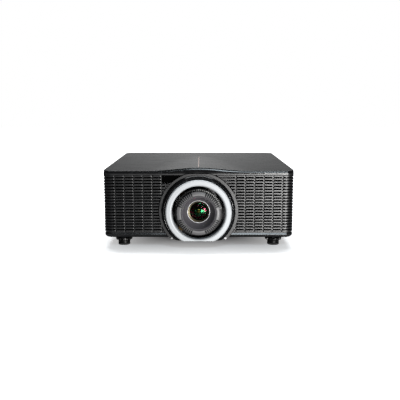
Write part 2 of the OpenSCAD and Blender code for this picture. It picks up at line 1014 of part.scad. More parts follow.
// Two square fan frames on feet, each with a hub held by three struts
module fan_frames() {
    color([0.12, 0.12, 0.12])
    for (x = fan_x)
        translate([x, 0, fan_z]) {
            facing(fan_y, fan_y + 25)
                difference() {
                    translate([-45, -45])
                        square(90);
                    circle(fan_r);
                }
            difference() {
                facing(fan_y + 21, fan_y + 25)
                    union() {
                        circle(18);
                        for (a = [90, 210, 330])
                            rotate(a)
                                translate([0, -2.5])
                                    square([fan_r + 1, 5]);
                    }
                bar_y(fan_y + 15, fan_y + 30, 2.5 + fit, 0, 0);
            }
            for (u = [-45, 33])
                block([u, fan_y + 1, tray_z - fan_z], [u + 12, fan_y + 23, -44]);
        }
}

// Hub, seven pitched blades and shaft
module fan_rotor(x) {
    color([0.2, 0.2, 0.2])
    translate([x, 0, fan_z]) {
        bar_y(fan_y + 3, fan_y + 19, 16, 0, 0);
        bar_y(fan_y + 4, fan_y + 24.5, 2.5, 0, 0);
        for (i = [0:6])
            rotate([0, i * 360 / 7, 0])
                translate([15, fan_y + 11, 0])
                    rotate([38, 0, 0])
                        translate([0, -8, -1])
                            cube([25, 16, 1.8]);
    }
}

module left_fan_rotor() {
    fan_rotor(fan_x[0]);
}

module right_fan_rotor() {
    fan_rotor(fan_x[1]);
}

// ---- ports and lights on the rear ----

module hdmi_ports() {
    color([0.75, 0.75, 0.78])
    for (x = hdmi_x)
        difference() {
            block([x - 9, 238, board_z], [x + 9, rear_face, board_z + 9]);
            block([x - 7.2, 250, board_z + 2.2], [x + 7.2, rear_face + 1, board_z + 6.8]);
        }
}

module network_ports() {
    color([0.75, 0.75, 0.78])
    for (x = net_x)
        difference() {
            block([x - 8, 238, board_z], [x + 8, rear_face, board_z + 15]);
            block([x - 6, 248, board_z + 3], [x + 6, rear_face + 1, board_z + 11]);
        }
}

// Three-pin mains inlet with its recess and blades
module ac_inlet() {
    color([0.05, 0.05, 0.05]) {
        difference() {
            block([inlet_x - 16, 232, inlet_z - 13], [inlet_x + 16, rear_face + 1.8, inlet_z + 13]);
            facing(246, rear_face + 3)
                polygon([
                    [inlet_x - 12, inlet_z - 8], [inlet_x + 12, inlet_z - 8],
                    [inlet_x + 12, inlet_z + 4], [inlet_x + 8, inlet_z + 8],
                    [inlet_x - 8, inlet_z + 8], [inlet_x - 12, inlet_z + 4]
                ]);
        }
        for (p = [[-7, -2], [0, 2], [7, -2]])
            block(
                [inlet_x + p[0] - 1, 245, inlet_z + p[1] - 2],
                [inlet_x + p[0] + 1, 257, inlet_z + p[1] + 2]
            );
    }
}

module status_lights() {
    color([0.2, 0.8, 0.3])
    status_places()
        bar_y(rear_in - 6, rear_face + 0.8, 1.6, 0, 0);
}

// ---- keys ----

// Outline of one key, grown by gap
module key_shape(name, gap = 0) {
    if (name == "power")
        translate([30, key_z])
            circle(7 + gap);
    if (name == "menu")
        translate([55 - gap, key_z - 4 - gap])
            square([14 + 2 * gap, 8 + 2 * gap]);
    if (name == "enter")
        translate([pad_x, key_z])
            circle(6.5 + gap);
    for (k = [["right", 0], ["up", 90], ["left", 180], ["down", 270]])
        if (name == k[0])
            translate([pad_x, key_z])
                rotate(k[1])
                    translate([10.5 - gap, -6 - gap])
                        square([9 + 2 * gap, 12 + 2 * gap]);
}

module key_shapes(gap) {
    for (name = ["power", "menu", "enter", "right", "up", "left", "down"])
        key_shape(name, gap);
}

// Cap through the panel, with a wider flange behind it
module key(name) {
    color([0.35, 0.35, 0.36]) {
        facing(rear_in - 2.5, rear_y - 0.4)
            key_shape(name);
        facing(rear_in - 3.5, rear_in - 1.5)
            key_shape(name, 0.9);
    }
}

module power_key() {
    key("power");
}

module menu_key() {
    key("menu");
}

module up_key() {
    key("up");
}

module down_key() {
    key("down");
}

module left_key() {
    key("left");
}

module right_key() {
    key("right");
}

module enter_key() {
    key("enter");
}

// ---- feet ----

// Threaded stud with its hand knob; it turns on the post of the pad
module foot_knob(x, y) {
    color([0.1, 0.1, 0.1])
    translate([x, y, 0])
        difference() {
            union() {
                translate([0, 0, pad_h + 0.1])
                    cylinder(h = flange_z - pad_h, r = pad_r);
                translate([0, 0, flange_z])
                    cylinder(h = flange_h, r = knob_r);
                translate([0, 0, flange_z])
                    cylinder(h = stud_top - flange_z, r = stud_r);
            }
            translate([0, 0, pad_h - 1])
                cylinder(h = post_top + 1.4 - pad_h, r = post_r + fit);
            for (a = [0:30:359])
                rotate(a)
                    translate([knob_r + 1.5, 0, flange_z - 0.6])
                        cylinder(h = flange_h + 1.6, r = 3);
        }
}

module foot_pad(x, y) {
    color([0.05, 0.05, 0.05])
    translate([x, y, 0]) {
        cylinder(h = pad_h, r1 = pad_r - 1, r2 = pad_r);
        cylinder(h = post_top, r = post_r);
    }
}

module front_left_knob() {
    foot_knob(-foot_x, -foot_y);
}

module front_left_pad() {
    foot_pad(-foot_x, -foot_y);
}

module front_right_knob() {
    foot_knob(foot_x, -foot_y);
}

module front_right_pad() {
    foot_pad(foot_x, -foot_y);
}

module rear_left_knob() {
    foot_knob(-foot_x, foot_y);
}

module rear_left_pad() {
    foot_pad(-foot_x, foot_y);
}

module rear_right_knob() {
    foot_knob(foot_x, foot_y);
}

module rear_right_pad() {
    foot_pad(foot_x, foot_y);
}

base_tray();
front_bezel();
front_band();
grille_left();
grille_right();
filter_panels();
top_cover();
trim_line();
left_side_panel();
right_side_panel();
rear_panel();
io_plate();
case_screws();
ir_window();
black_ring();
silver_ring();
shift_frame();
vertical_motor();
vertical_screw();
vertical_carriage();
horizontal_motor();
horizontal_screw();
horizontal_carriage();
lens_barrel();
lens_motors();
focus_ring();
focus_pinion();
zoom_ring();
zoom_pinion();
front_cell();
retaining_ring();
front_glass();
light_engine();
phosphor_wheel();
laser_module();
heatsink();
main_board();
power_supply();
fan_frames();
left_fan_rotor();
right_fan_rotor();
hdmi_ports();
network_ports();
ac_inlet();
status_lights();
power_key();
menu_key();
up_key();
down_key();
left_key();
right_key();
enter_key();
front_left_knob();
front_left_pad();
front_right_knob();
front_right_pad();
rear_left_knob();
rear_left_pad();
rear_right_knob();
rear_right_pad();
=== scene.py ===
"""Looks of a large-venue projector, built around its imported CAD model."""

import json
import math

import bmesh
import bpy
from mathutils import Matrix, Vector


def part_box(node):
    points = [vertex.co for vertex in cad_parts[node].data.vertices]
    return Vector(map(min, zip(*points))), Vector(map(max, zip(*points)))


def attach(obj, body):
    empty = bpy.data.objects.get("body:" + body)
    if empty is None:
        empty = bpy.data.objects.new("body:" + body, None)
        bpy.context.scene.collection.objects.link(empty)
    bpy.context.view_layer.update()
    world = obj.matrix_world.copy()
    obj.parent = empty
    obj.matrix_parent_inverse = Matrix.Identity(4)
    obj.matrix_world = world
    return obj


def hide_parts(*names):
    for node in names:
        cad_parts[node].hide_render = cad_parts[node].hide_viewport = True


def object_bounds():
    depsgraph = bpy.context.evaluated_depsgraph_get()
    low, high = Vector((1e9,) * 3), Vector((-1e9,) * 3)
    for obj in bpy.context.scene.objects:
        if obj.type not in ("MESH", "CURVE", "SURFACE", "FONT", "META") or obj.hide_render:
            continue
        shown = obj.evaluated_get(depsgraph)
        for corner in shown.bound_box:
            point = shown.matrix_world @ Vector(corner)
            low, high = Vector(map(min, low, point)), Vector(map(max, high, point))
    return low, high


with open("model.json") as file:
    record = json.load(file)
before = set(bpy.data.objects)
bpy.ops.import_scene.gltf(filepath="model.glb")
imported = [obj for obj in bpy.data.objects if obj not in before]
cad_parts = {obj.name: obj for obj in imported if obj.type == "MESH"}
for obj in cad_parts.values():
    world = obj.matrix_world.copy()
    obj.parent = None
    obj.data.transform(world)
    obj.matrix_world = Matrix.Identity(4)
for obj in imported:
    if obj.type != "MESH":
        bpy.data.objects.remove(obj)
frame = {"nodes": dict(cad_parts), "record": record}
CAD_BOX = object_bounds()
NODES = frame["nodes"]
MM = 0.001
TAU = 2 * math.pi

# ---- driving sizes: places come from the frame, details are stated here ----

LID_LO, LID_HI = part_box("top_cover")
TRAY_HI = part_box("base_tray")[1]
BAND_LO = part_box("front_band")[0]
PANEL_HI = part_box("left_side_panel")[1]
RING_LO, RING_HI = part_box("silver_ring")
BLACK_LO, BLACK_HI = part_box("black_ring")
GRILLE_LO, GRILLE_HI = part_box("grille_left")
WINDOW_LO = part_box("ir_window")[0]
GRIP_LO, GRIP_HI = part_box("focus_ring")
CELL_LO, CELL_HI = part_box("front_cell")
CHROME_LO, CHROME_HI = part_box("retaining_ring")
GLASS_LO, GLASS_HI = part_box("front_glass")

# Case
FRONT_Y = GRILLE_LO.y
REAR_Y = TRAY_HI.y
HALF_W = TRAY_HI.x
WRAP_Y = GRILLE_HI.y
CORNER_R = 22 * MM
LID_Z = PANEL_HI.z + 2.5 * MM
CROWN_H = LID_HI.z - LID_Z
CROWN_HALF = 132 * MM
CROWN_L = 372 * MM

# Grille
FIN_COUNT = 20
FIN_H = 4.4 * MM
FIN_D = 7 * MM
FIN_PITCH = (GRILLE_HI.z - GRILLE_LO.z - FIN_H) / (FIN_COUNT - 1)
GROOVE_X0 = 94.5 * MM
GROOVE_PITCH = 23.75 * MM
GROOVE_HALF = 1.1 * MM
GROOVE_COUNT = 6
GROOVE_D = 5 * MM
BRICK_DROP = 0.25 * MM
BRICK_ROUND = 1.3 * MM
RIB_HALF = 1.5 * MM

# Lens rings and lens
LENS_Z = (CELL_LO.z + CELL_HI.z) / 2
SILVER_R = (RING_HI.x - RING_LO.x) / 2
RING_Z = RING_HI.z - SILVER_R
CHORD_Z = RING_LO.z
RING_BORE = 68.3 * MM
BLACK_R = (BLACK_HI.x - BLACK_LO.x) / 2
RIM_R = 101 * MM
TEETH_FINE = 200
GRIP_R = 55.6 * MM
GRIP_BORE = 44.6 * MM
GEAR_W = 6 * MM
GEAR_TEETH = 112
GEAR_R = GEAR_TEETH / 2 * MM
GEAR_BORE = 50.5 * MM
RIBS = 60
RIB_DEPTH = 5 * MM
RIB_INSET = 2 * MM
INDEX_R = 60 * MM
PAD_HALF_DEG = 17
CHROME_R = (CHROME_HI.x - CHROME_LO.x) / 2
GLASS_R = (GLASS_HI.x - GLASS_LO.x) / 2
GLASS_CURVE = 60 * MM
INNER_CURVE = 78 * MM

# Mesh behind the side slots
PANEL_WALL = 2.5 * MM
PLEAT = 2.5 * MM
MESH_T = 0.4 * MM
MESH_LO = Vector((0, -0.176, 0.066))
MESH_HI = Vector((0, 0.236, 0.165))

# Feet
FOOT_LOBES = 12
FLANGE_TOP = 15.9 * MM
FLANGE_H = 6.4 * MM
STUD_R = 5 * MM

# Camera, from the pinhole fit to the photograph; sensor and lens are in Blender's millimetres
CAMERA_SENSOR = 36
CAMERA_LENS = 51.71
CAMERA_X = 3.5 * MM
CAMERA_AWAY = 1442 * MM
CAMERA_Z = 379.6 * MM
CAMERA_DIP = 9.95


# ---- small mesh tools ----

def rounded(points, radii, steps, closed=True):
    """The outline with its corners rounded by the given radii; an open outline keeps its two ends."""
    out = []
    count = len(points)
    for i, p in enumerate(points):
        p = Vector(p)
        if radii[i] == 0 or (not closed and i in (0, count - 1)):
            out.append(p)
            continue
        before = Vector(points[i - 1]) - p
        after = Vector(points[(i + 1) % count]) - p
        cut = radii[i] / math.tan(before.angle(after) / 2)
        cut = min(cut, before.length * 0.48, after.length * 0.48)
        start = p + before.normalized() * cut
        end = p + after.normalized() * cut
        for k in range(steps + 1):
            t = k / steps
            out.append((1 - t) ** 2 * start + 2 * t * (1 - t) * p + t ** 2 * end)
    return out


def new_piece(name, bm, body, slot, material=None, replaces=(), sharp=32):
    """Turns a bmesh into an object that rides on a body and takes one finish."""
    bmesh.ops.remove_doubles(bm, verts=bm.verts, dist=2e-6)
    bmesh.ops.recalc_face_normals(bm, faces=bm.faces)
    mesh = bpy.data.meshes.new(name)
    bm.to_mesh(mesh)
    bm.free()
    mesh.materials.append(material or MATERIALS[slot])
    mesh.shade_smooth()
    mesh.set_sharp_from_angle(angle=math.radians(sharp))
    piece = bpy.data.objects.new(name, mesh)
    bpy.context.scene.collection.objects.link(piece)
    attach(piece, body)
    if replaces:
        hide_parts(*replaces)
    return piece


def grid_faces(bm, rows, wrap_rows=False, wrap_cols=False):
    """Quads between rows of vertices."""
    last_row = len(rows) if wrap_rows else len(rows) - 1
    for i in range(last_row):
        a = rows[i]
        b = rows[(i + 1) % len(rows)]
        last_col = len(a) if wrap_cols else len(a) - 1
        for j in range(last_col):
            k = (j + 1) % len(a)
            bm.faces.new((a[j], a[k], b[k], b[j]))


def turned(profile, segments, shape, place):
    """Solid of revolution from a closed list of (radius, height along the axis).

    shape(index, angle, radius, height) may move a point, for teeth and ribs.
    place(radius, height, cosine, sine) gives the point in space.
    """
    bm = bmesh.new()
    rows = []
    for s in range(segments):
        angle = TAU * s / segments
        row = []
        for i, (r, h) in enumerate(profile):
            if shape:
                r, h = shape(i, angle, r, h)
            row.append(bm.verts.new(place(r, h, math.cos(angle), math.sin(angle))))
        rows.append(row)
    grid_faces(bm, rows, True, True)
    return bm


def lathe(profile, z, segments=192, shape=None):
    """Solid turned about a line along Y at height z; the profile holds (radius, y)."""
    return turned(profile, segments, shape, lambda r, y, c, d: (r * c, y, z + r * d))


def upright_lathe(profile, x, y, segments, shape=None):
    """Solid turned about an upright line at (x, y); the profile holds (radius, z)."""
    return turned(profile, segments, shape, lambda r, z, c, d: (x + r * c, y + r * d, z))


def add_block(bm, low, high):
    """Adds a closed box between two corners."""
    rows = []
    for z in (low[2], high[2]):
        corners = ((low[0], low[1]), (high[0], low[1]), (high[0], high[1]), (low[0], high[1]))
        rows.append([bm.verts.new((x, y, z)) for x, y in corners])
    grid_faces(bm, rows, False, True)
    bm.faces.new(rows[0][::-1])
    bm.faces.new(rows[1])


def cut_below(bm, z):
    """Removes everything below z and closes the cut with flat faces."""
    geometry = bm.verts[:] + bm.edges[:] + bm.faces[:]
    bmesh.ops.bisect_plane(
        bm, geom=geometry, dist=1e-7, plane_co=(0, 0, z), plane_no=(0, 0, -1), clear_outer=True
    )
    rim = [e for e in bm.edges if e.is_boundary]
    bmesh.ops.holes_fill(bm, edges=rim, sides=0)


def add_bevel(piece, width, angle=35):
    """Rounds the crisp edges of a piece and evens the shading of its flats, with modifiers only."""
    weld = piece.modifiers.new("join_faces", "WELD")
    weld.merge_threshold = 1e-6
    merge = piece.modifiers.new("flat_merge", "DECIMATE")
    merge.decimate_type = "DISSOLVE"
    merge.angle_limit = math.radians(0.5)
    bevel = piece.modifiers.new("edge_round", "BEVEL")
    bevel.width = width
    bevel.segments = 3
    bevel.limit_method = "ANGLE"
    bevel.angle_limit = math.radians(angle)
    bevel.harden_normals = False
    bevel.use_clamp_overlap = True
    flats = piece.modifiers.new("flat_faces", "WEIGHTED_NORMAL")
    flats.keep_sharp = True
    flats.weight = 100


# ---- materials ----

class Shader:
    """A Principled material with a few helpers for procedural detail."""

    def __init__(self, name, color, roughness, metallic=0.0, specular=0.5):
        self.mat = bpy.data.materials.new(name)
        self.mat.use_nodes = True
        self.tree = self.mat.node_tree
        self.bsdf = self.tree.nodes["Principled BSDF"]
        self.color = color
        self.roughness = roughness
        self.set("Base Color", (*color, 1))
        self.set("Roughness", roughness)
        self.set("Metallic", metallic)
        self.set("Specular IOR Level", specular)
        self.coords = self.add("ShaderNodeTexCoord").outputs["Object"]
        self.height = None

    def add(self, kind, **settings):
        """New shader node with the given properties."""
        node = self.tree.nodes.new(kind)
        for key, value in settings.items():
            setattr(node, key, value)
        return node

    def set(self, socket, value):
        """Constant value on one of the shader's own sockets."""
        self.bsdf.inputs[socket].default_value = value

    def link(self, a, b):
        self.tree.links.new(a, b)

    def noise(self, scale, detail, stretch=None):
        """Noise in object space; scale is cells for each metre."""
        node = self.add("ShaderNodeTexNoise")
        node.inputs["Scale"].default_value = scale
        node.inputs["Detail"].default_value = detail
        source = self.coords
        if stretch:
            mapping = self.add("ShaderNodeMapping")
            mapping.inputs["Scale"].default_value = stretch
            self.link(source, mapping.inputs["Vector"])
            source = mapping.outputs["Vector"]
        self.link(source, node.inputs["Vector"])
        return node.outputs["Fac"]

    def ramp(self, value, low, high, out_low, out_high):
        """Maps value from low..high to out_low..out_high, clamped."""
        node = self.add("ShaderNodeMapRange")
        node.inputs["From Min"].default_value = low
        node.inputs["From Max"].default_value = high
        node.inputs["To Min"].default_value = out_low
        node.inputs["To Max"].default_value = out_high
        self.link(value, node.inputs["Value"])
        return node.outputs["Result"]

    def tint(self, value, dark, light):
        """Varies the base colour between two multiples of it."""
        node = self.add("ShaderNodeMix", data_type="RGBA")
        node.inputs[6].default_value = (*[c * dark for c in self.color], 1)
        node.inputs[7].default_value = (*[min(1, c * light) for c in self.color], 1)
        self.link(value, node.inputs[0])
        self.link(node.outputs[2], self.bsdf.inputs["Base Color"])

    def vary_roughness(self, value, spread):
        """Varies the roughness by the spread either way."""
        low = max(0.02, self.roughness - spread)
        high = self.roughness + spread
        self.link(self.ramp(value, 0.3, 0.7, low, high), self.bsdf.inputs["Roughness"])

    def bump(self, value, depth_mm):
        """Adds a bump layer; depth is in millimetres."""
        node = self.add("ShaderNodeBump")
        node.inputs["Distance"].default_value = depth_mm * MM
        node.inputs["Strength"].default_value = 1.0
        self.link(value, node.inputs["Height"])
        if self.height:
            self.link(self.height, node.inputs["Normal"])
        self.height = node.outputs["Normal"]
        self.link(self.height, self.bsdf.inputs["Normal"])


def moulded(name, color, roughness, grain_mm=0.35, specular=0.5):
    """Spark-eroded moulded plastic: fine even grain with slow patches of gloss."""
    s = Shader(name, color, roughness, specular=specular)
    s.tint(s.noise(9, 4), 0.86, 1.14)
    s.vary_roughness(s.noise(40, 5), 0.05)
    s.bump(s.noise(1000 / grain_mm, 2), 0.02)
    return s.mat


def painted(name, color, roughness):
    """Sprayed metal: soft orange peel over a finer texture."""
    orange_peel_mm = 0.9
    s = Shader(name, color, roughness)
    s.tint(s.noise(6, 5), 0.95, 1.05)
    s.vary_roughness(s.noise(25, 2), 0.012)
    s.bump(s.noise(1000 / orange_peel_mm, 1), 0.01)
    s.bump(s.noise(4200, 1), 0.004)
    return s.mat


def polished(name, color, roughness, specular=0.5):
    """Gloss plastic with a faint long ripple and small differences of polish."""
    s = Shader(name, color, roughness, specular=specular)
    s.tint(s.noise(14, 3), 0.8, 1.3)
    s.vary_roughness(s.noise(60, 5), 0.03)
    s.bump(s.noise(30, 2), 0.02)
    s.set("Coat Weight", 0.15)
    s.set("Coat Roughness", 0.06)
    return s.mat


def metal(name, color, roughness, stretch=None, grain=1800, depth_mm=0.004):
    """Metal with a grain that may run one way."""
    s = Shader(name, color, roughness, metallic=1.0)
    s.tint(s.noise(18, 4), 0.93, 1.05)
    lines = s.noise(grain, 3, stretch)
    s.vary_roughness(lines, 0.07)
    s.bump(lines, depth_mm)
    return s.mat


def axis_distance(s, centre_z):
    """Distance of the shaded point from the line along Y at height centre_z, in metres."""
    shifted = s.add("ShaderNodeVectorMath", operation="SUBTRACT")
    shifted.inputs[1].default_value = (0, 0, centre_z)
    s.link(s.coords, shifted.inputs[0])
    flat = s.add("ShaderNodeVectorMath", operation="MULTIPLY")
    flat.inputs[1].default_value = (1, 0, 1)
    s.link(shifted.outputs[0], flat.inputs[0])
    length = s.add("ShaderNodeVectorMath", operation="LENGTH")
    s.link(flat.outputs[0], length.inputs[0])
    return length.outputs["Value"]


def turned_metal(name, color, roughness, centre_z, metallic=1.0, pitch_mm=0.25):
    """Metal faced on a lathe: fine rings about the line along Y at height centre_z."""
    s = Shader(name, color, roughness, metallic=metallic)
    rings = s.add("ShaderNodeTexNoise", noise_dimensions="1D")
    rings.inputs["Scale"].default_value = 1000 / pitch_mm
    rings.inputs["Detail"].default_value = 2
    s.link(axis_distance(s, centre_z), rings.inputs["W"])
    s.tint(s.noise(12, 3), 0.95, 1.03)
    s.vary_roughness(rings.outputs["Fac"], 0.06)
    s.bump(rings.outputs["Fac"], 0.003)
    return s.mat


def foam_material():
    """Open-cell black foam of the dust filters."""
    s = Shader("foam", (0.012, 0.012, 0.012), 0.95, specular=0.1)
    cells = s.add("ShaderNodeTexVoronoi")
    cells.inputs["Scale"].default_value = 900
    s.link(s.coords, cells.inputs["Vector"])
    # Painted shade: each pore is darker where its bump sinks deepest.
    s.tint(cells.outputs["Distance"], 0.3, 2.2)
    s.bump(cells.outputs["Distance"], 0.5)
    return s.mat


def board_material():
    """Circuit board: solder mask with a faint weave and tracks."""
    s = Shader("circuit_green", (0.012, 0.10, 0.04), 0.35)
    tracks = s.add("ShaderNodeTexBrick")
    tracks.inputs["Scale"].default_value = 160
    tracks.inputs["Mortar Size"].default_value = 0.05
    s.link(s.coords, tracks.inputs["Vector"])
    s.tint(tracks.outputs["Fac"], 0.75, 1.6)
    s.bump(s.noise(1500, 2), 0.01)
    return s.mat


def rubber_material():
    """Dull black rubber of the pads, a little dusty."""
    s = Shader("pad_rubber", (0.018, 0.018, 0.018), 0.75, specular=0.3)
    s.tint(s.noise(90, 5), 0.7, 1.5)
    s.bump(s.noise(2600, 3), 0.04)
    s.set("Sheen Weight", 0.15)
    return s.mat


def glass_material():
    """Front element: clear glass with a green low-reflection coating and traces of cleaning."""
    s = Shader("coated_glass", (0.92, 0.9, 0.88), 0.13)
    s.set("Transmission Weight", 1.0)
    s.set("IOR", 1.26)
    s.set("Specular Tint", (0.12, 1.0, 0.42, 1))
    s.vary_roughness(s.noise(400, 3), 0.01)
    return s.mat


def inner_coating_material():
    """Second element: dark; its coating is amber at the axis, then green, and magenta towards the edge."""
    s = Shader("inner_coating", (0.02, 0.02, 0.02), 0.2, metallic=1.0)
    colours = s.add("ShaderNodeValToRGB")
    ramp = colours.color_ramp
    stops = (
        (0.0, (0.25, 0.19, 0.05)),
        (0.14, (0.08, 0.07, 0.01)),
        (0.3, (0.004, 0.04, 0.014)),
        (0.52, (0.012, 0.01, 0.006)),
        (0.72, (0.07, 0.003, 0.018)),
        (1.0, (0.006, 0.003, 0.003)),
    )
    while len(ramp.elements) < len(stops):
        ramp.elements.new(0.5)
    for element, (place, colour) in zip(ramp.elements, stops):
        element.position = place
        element.color = (*colour, 1)
    s.link(s.ramp(axis_distance(s, LENS_Z), 0, GLASS_R, 0, 1), colours.inputs["Fac"])
    s.link(colours.outputs["Color"], s.bsdf.inputs["Base Color"])
    s.bump(s.noise(60, 1), 0.01)
    return s.mat


def grip_groove_shade_material():
    """Ribbed rubber of the focus ring: the base colour is lighter on the crests and darker deeper into the
    grooves, a painted shade in the grooves.
    """
    s = Shader("grip_painted_groove_shade", (0.105, 0.103, 0.105), 0.42)
    depth = s.add("ShaderNodeSeparateXYZ")
    s.link(s.coords, depth.inputs[0])
    # Painted shade: the colour darkens with depth into the rib grooves.
    s.tint(s.ramp(depth.outputs["Y"], GRIP_LO.y + 3.3 * MM, GRIP_LO.y + 4.2 * MM, 1.0, 0.0), 0.06, 1.15)
    s.vary_roughness(s.noise(40, 5), 0.05)
    s.bump(s.noise(4000, 2), 0.02)
    return s.mat


def phosphor_material():
    """Yellow phosphor powder with a fine grain."""
    s = Shader("phosphor", (0.75, 0.66, 0.16), 0.6)
    s.tint(s.noise(700, 4), 0.8, 1.2)
    s.bump(s.noise(2500, 2), 0.03)
    return s.mat


MATERIALS = {
    "case_grey": moulded("case_grey", (0.009, 0.009, 0.01), 0.34),
    "lid_grey": painted("lid_grey", (0.016, 0.016, 0.0165), 0.25),
    "gloss_black": polished("gloss_black", (0.003, 0.003, 0.0035), 0.14, specular=0.5),
    "grille_grey": moulded("grille_grey", (0.006, 0.006, 0.0065), 0.35, specular=0.55),
    "foam": foam_material(),
    "satin_aluminium": turned_metal("satin_aluminium", (0.45, 0.465, 0.48), 0.5, RING_Z, metallic=0.1),
    "bright_chrome": turned_metal(
        "bright_chrome", (0.6, 0.6, 0.61), 0.42, LENS_Z, metallic=0.6, pitch_mm=0.15
    ),
    "coated_glass": glass_material(),
    "lens_black": moulded("lens_black", (0.035, 0.034, 0.037), 0.42, grain_mm=0.25),
    "cast_metal": metal("cast_metal", (0.16, 0.16, 0.165), 0.5, grain=900, depth_mm=0.03),
    "steel": metal("steel", (0.3, 0.3, 0.31), 0.45, stretch=(1, 12, 12)),
    "brass_gear": metal("brass_gear", (0.035, 0.024, 0.012), 0.5),
    "circuit_green": board_material(),
    "phosphor": phosphor_material(),
    "motor_black": painted("motor_black", (0.02, 0.02, 0.021), 0.4),
    "key_grey": moulded("key_grey", (0.11, 0.11, 0.115), 0.45),
    "light_pipe": polished("light_pipe", (0.35, 0.55, 0.38), 0.12),
    "foot_plastic": moulded("foot_plastic", (0.003, 0.003, 0.003), 0.25, specular=0.35),
    "pad_rubber": rubber_material(),
    "trim_light": moulded("trim_light", (0.55, 0.42, 0.38), 0.4),
}
BAND_GLOSS = polished("band_gloss", (0.003, 0.003, 0.0035), 0.14, specular=1.0)
WINDOW_BLACK = polished("window_black", (0.001, 0.001, 0.001), 0.1, specular=0.04)
TRAY_GREY = moulded("tray_grey", (0.006, 0.006, 0.0065), 0.2, specular=1.0)
# Painted shade in the grooves of the focus grip.
GRIP_GROOVE_SHADE = grip_groove_shade_material()
CONE_GREY = moulded("cone_grey", (0.075, 0.07, 0.078), 0.5, grain_mm=0.25, specular=0.3)
# Painted highlight: the white of the marks that stand in for light on the gear teeth.
TOOTH_GLINT_PAINT = moulded("painted_tooth_glint", (0.62, 0.62, 0.6), 0.5, grain_mm=0.2)
THROAT_METAL = turned_metal("throat_metal", (0.05, 0.043, 0.028), 0.34, LENS_Z)
INNER_COATING = inner_coating_material()

SLOT_OF = {p["node"]: p["material_slot"] for p in frame["record"]["subparts"]}


def finish_cad_nodes():
    """Every CAD node gets its finish (its slot's, or its own for the IR window and the tray) and smooth
    shading by angle; the listed nodes and the keys also get softened edges.
    """
    rounded_edges = {
        "front_bezel": 1.1,
        "left_side_panel": 0.5,
        "right_side_panel": 0.5,
        "rear_panel": 0.4,
        "io_plate": 0.4,
        "ac_inlet": 0.5,
        "hdmi_ports": 0.3,
        "network_ports": 0.3,
        "ir_window": 0.5,
        "case_screws": 0.25,
    }
    own_finish = {"ir_window": WINDOW_BLACK, "base_tray": TRAY_GREY}
    for name, node in NODES.items():
        mesh_materials = node.data.materials
        mesh_materials.clear()
        mesh_materials.append(own_finish.get(name, MATERIALS[SLOT_OF[name]]))
        node.data.shade_smooth()
        node.data.set_sharp_from_angle(angle=math.radians(32))
        width = 0.6 if name.endswith("_key") else rounded_edges.get(name)
        if width:
            add_bevel(node, width * MM, 40)


# ---- case ----

def crown(x, y):
    """Height of the crown above the flat lid, at x across and y behind the front edge."""
    left = max(0.0, 1 - y / CROWN_L)
    half = CROWN_HALF * math.sqrt(max(0.02, left))
    if abs(x) >= half:
        return 0.0
    return CROWN_H * left ** 1.2 * (1 + math.cos(math.pi * x / half)) / 2


def outline_rows(inset):
    """(half width, y) pairs of the rounded plan outline from front to back, moved in by inset."""
    corner_steps = 8
    side_steps = 60
    r = CORNER_R - inset
    half = HALF_W - inset
    front = FRONT_Y + inset
    back = REAR_Y - inset
    rows = []
    for i in range(corner_steps + 1):
        a = math.pi / 2 * i / corner_steps
        rows.append((half - r + r * math.sin(a), front + r * (1 - math.cos(a))))
    for i in range(1, side_steps):
        rows.append((half, front + r + (back - front - 2 * r) * i / side_steps))
    for i in range(corner_steps + 1):
        a = math.pi / 2 * i / corner_steps
        rows.append((half - r + r * math.cos(a), back - r + r * math.sin(a)))
    return rows


def lid_vertex(bm, x, y, drop):
    """Point at a given depth under the crowned top of the lid."""
    return bm.verts.new((x, y, LID_Z - drop + crown(x, y - FRONT_Y)))


def lid_sheet(bm, inset, drop, columns):
    """A filled sheet over the whole plan, following the crown."""
    rows = []
    for half, y in outline_rows(inset):
        rows.append([lid_vertex(bm, half * (2 * j / columns - 1), y, drop) for j in range(columns + 1)])
    grid_faces(bm, rows)


def lid_loop(bm, inset, drop, columns):
    """The closed edge of the same sheet."""
    rows = outline_rows(inset)
    steps = [2 * j / columns - 1 for j in range(columns + 1)]
    path = [(rows[0][0] * t, rows[0][1]) for t in steps]
    path += [(half, y) for half, y in rows[1:-1]]
    path += [(-rows[-1][0] * t, rows[-1][1]) for t in steps]
    path += [(-half, y) for half, y in reversed(rows[1:-1])]
    return [lid_vertex(bm, x, y, drop) for x, y in path]


def build_lid():
    """Lid: one sheet with the crown drawn into it, a rounded edge and a rebate under it."""
    columns = 110
    edge = 0.9 * MM
    under = 1.1 * MM
    rebate = 3.4 * MM
    bm = bmesh.new()
    lid_sheet(bm, edge, 0, columns)
    loops = []
    for i in range(5):
        a = math.pi / 2 * i / 4
        loops.append(lid_loop(bm, edge * (1 - math.sin(a)), edge * (1 - math.cos(a)), columns))
    loops.append(lid_loop(bm, 0.3 * MM, under, columns))
    loops.append(lid_loop(bm, rebate, under, columns))
    loops.append(lid_loop(bm, rebate, LID_Z - LID_LO.z, columns))
    grid_faces(bm, loops, False, True)
    lid_sheet(bm, rebate, LID_Z - LID_LO.z, columns)
    new_piece("lid_cover", bm, "root", "lid_grey", replaces=["top_cover"])


def wrap_path():
    """(outer point, inward direction) along the front outline, from the left wrap end to the right."""
    flat_steps = 70
    corner_steps = 12
    flat = HALF_W - CORNER_R
    right = [(Vector((flat * i / flat_steps, FRONT_Y)), Vector((0, 1))) for i in range(flat_steps)]
    for i in range(corner_steps + 1):
        a = math.pi / 2 * i / corner_steps
        out = Vector((math.sin(a), -math.cos(a)))
        right.append((Vector((flat, FRONT_Y + CORNER_R)) + out * CORNER_R, -out))
    right.append((Vector((HALF_W, WRAP_Y)), Vector((-1, 0))))
    left = [(Vector((-p.x, p.y)), Vector((-n.x, n.y))) for p, n in reversed(right[1:])]
    return left + right


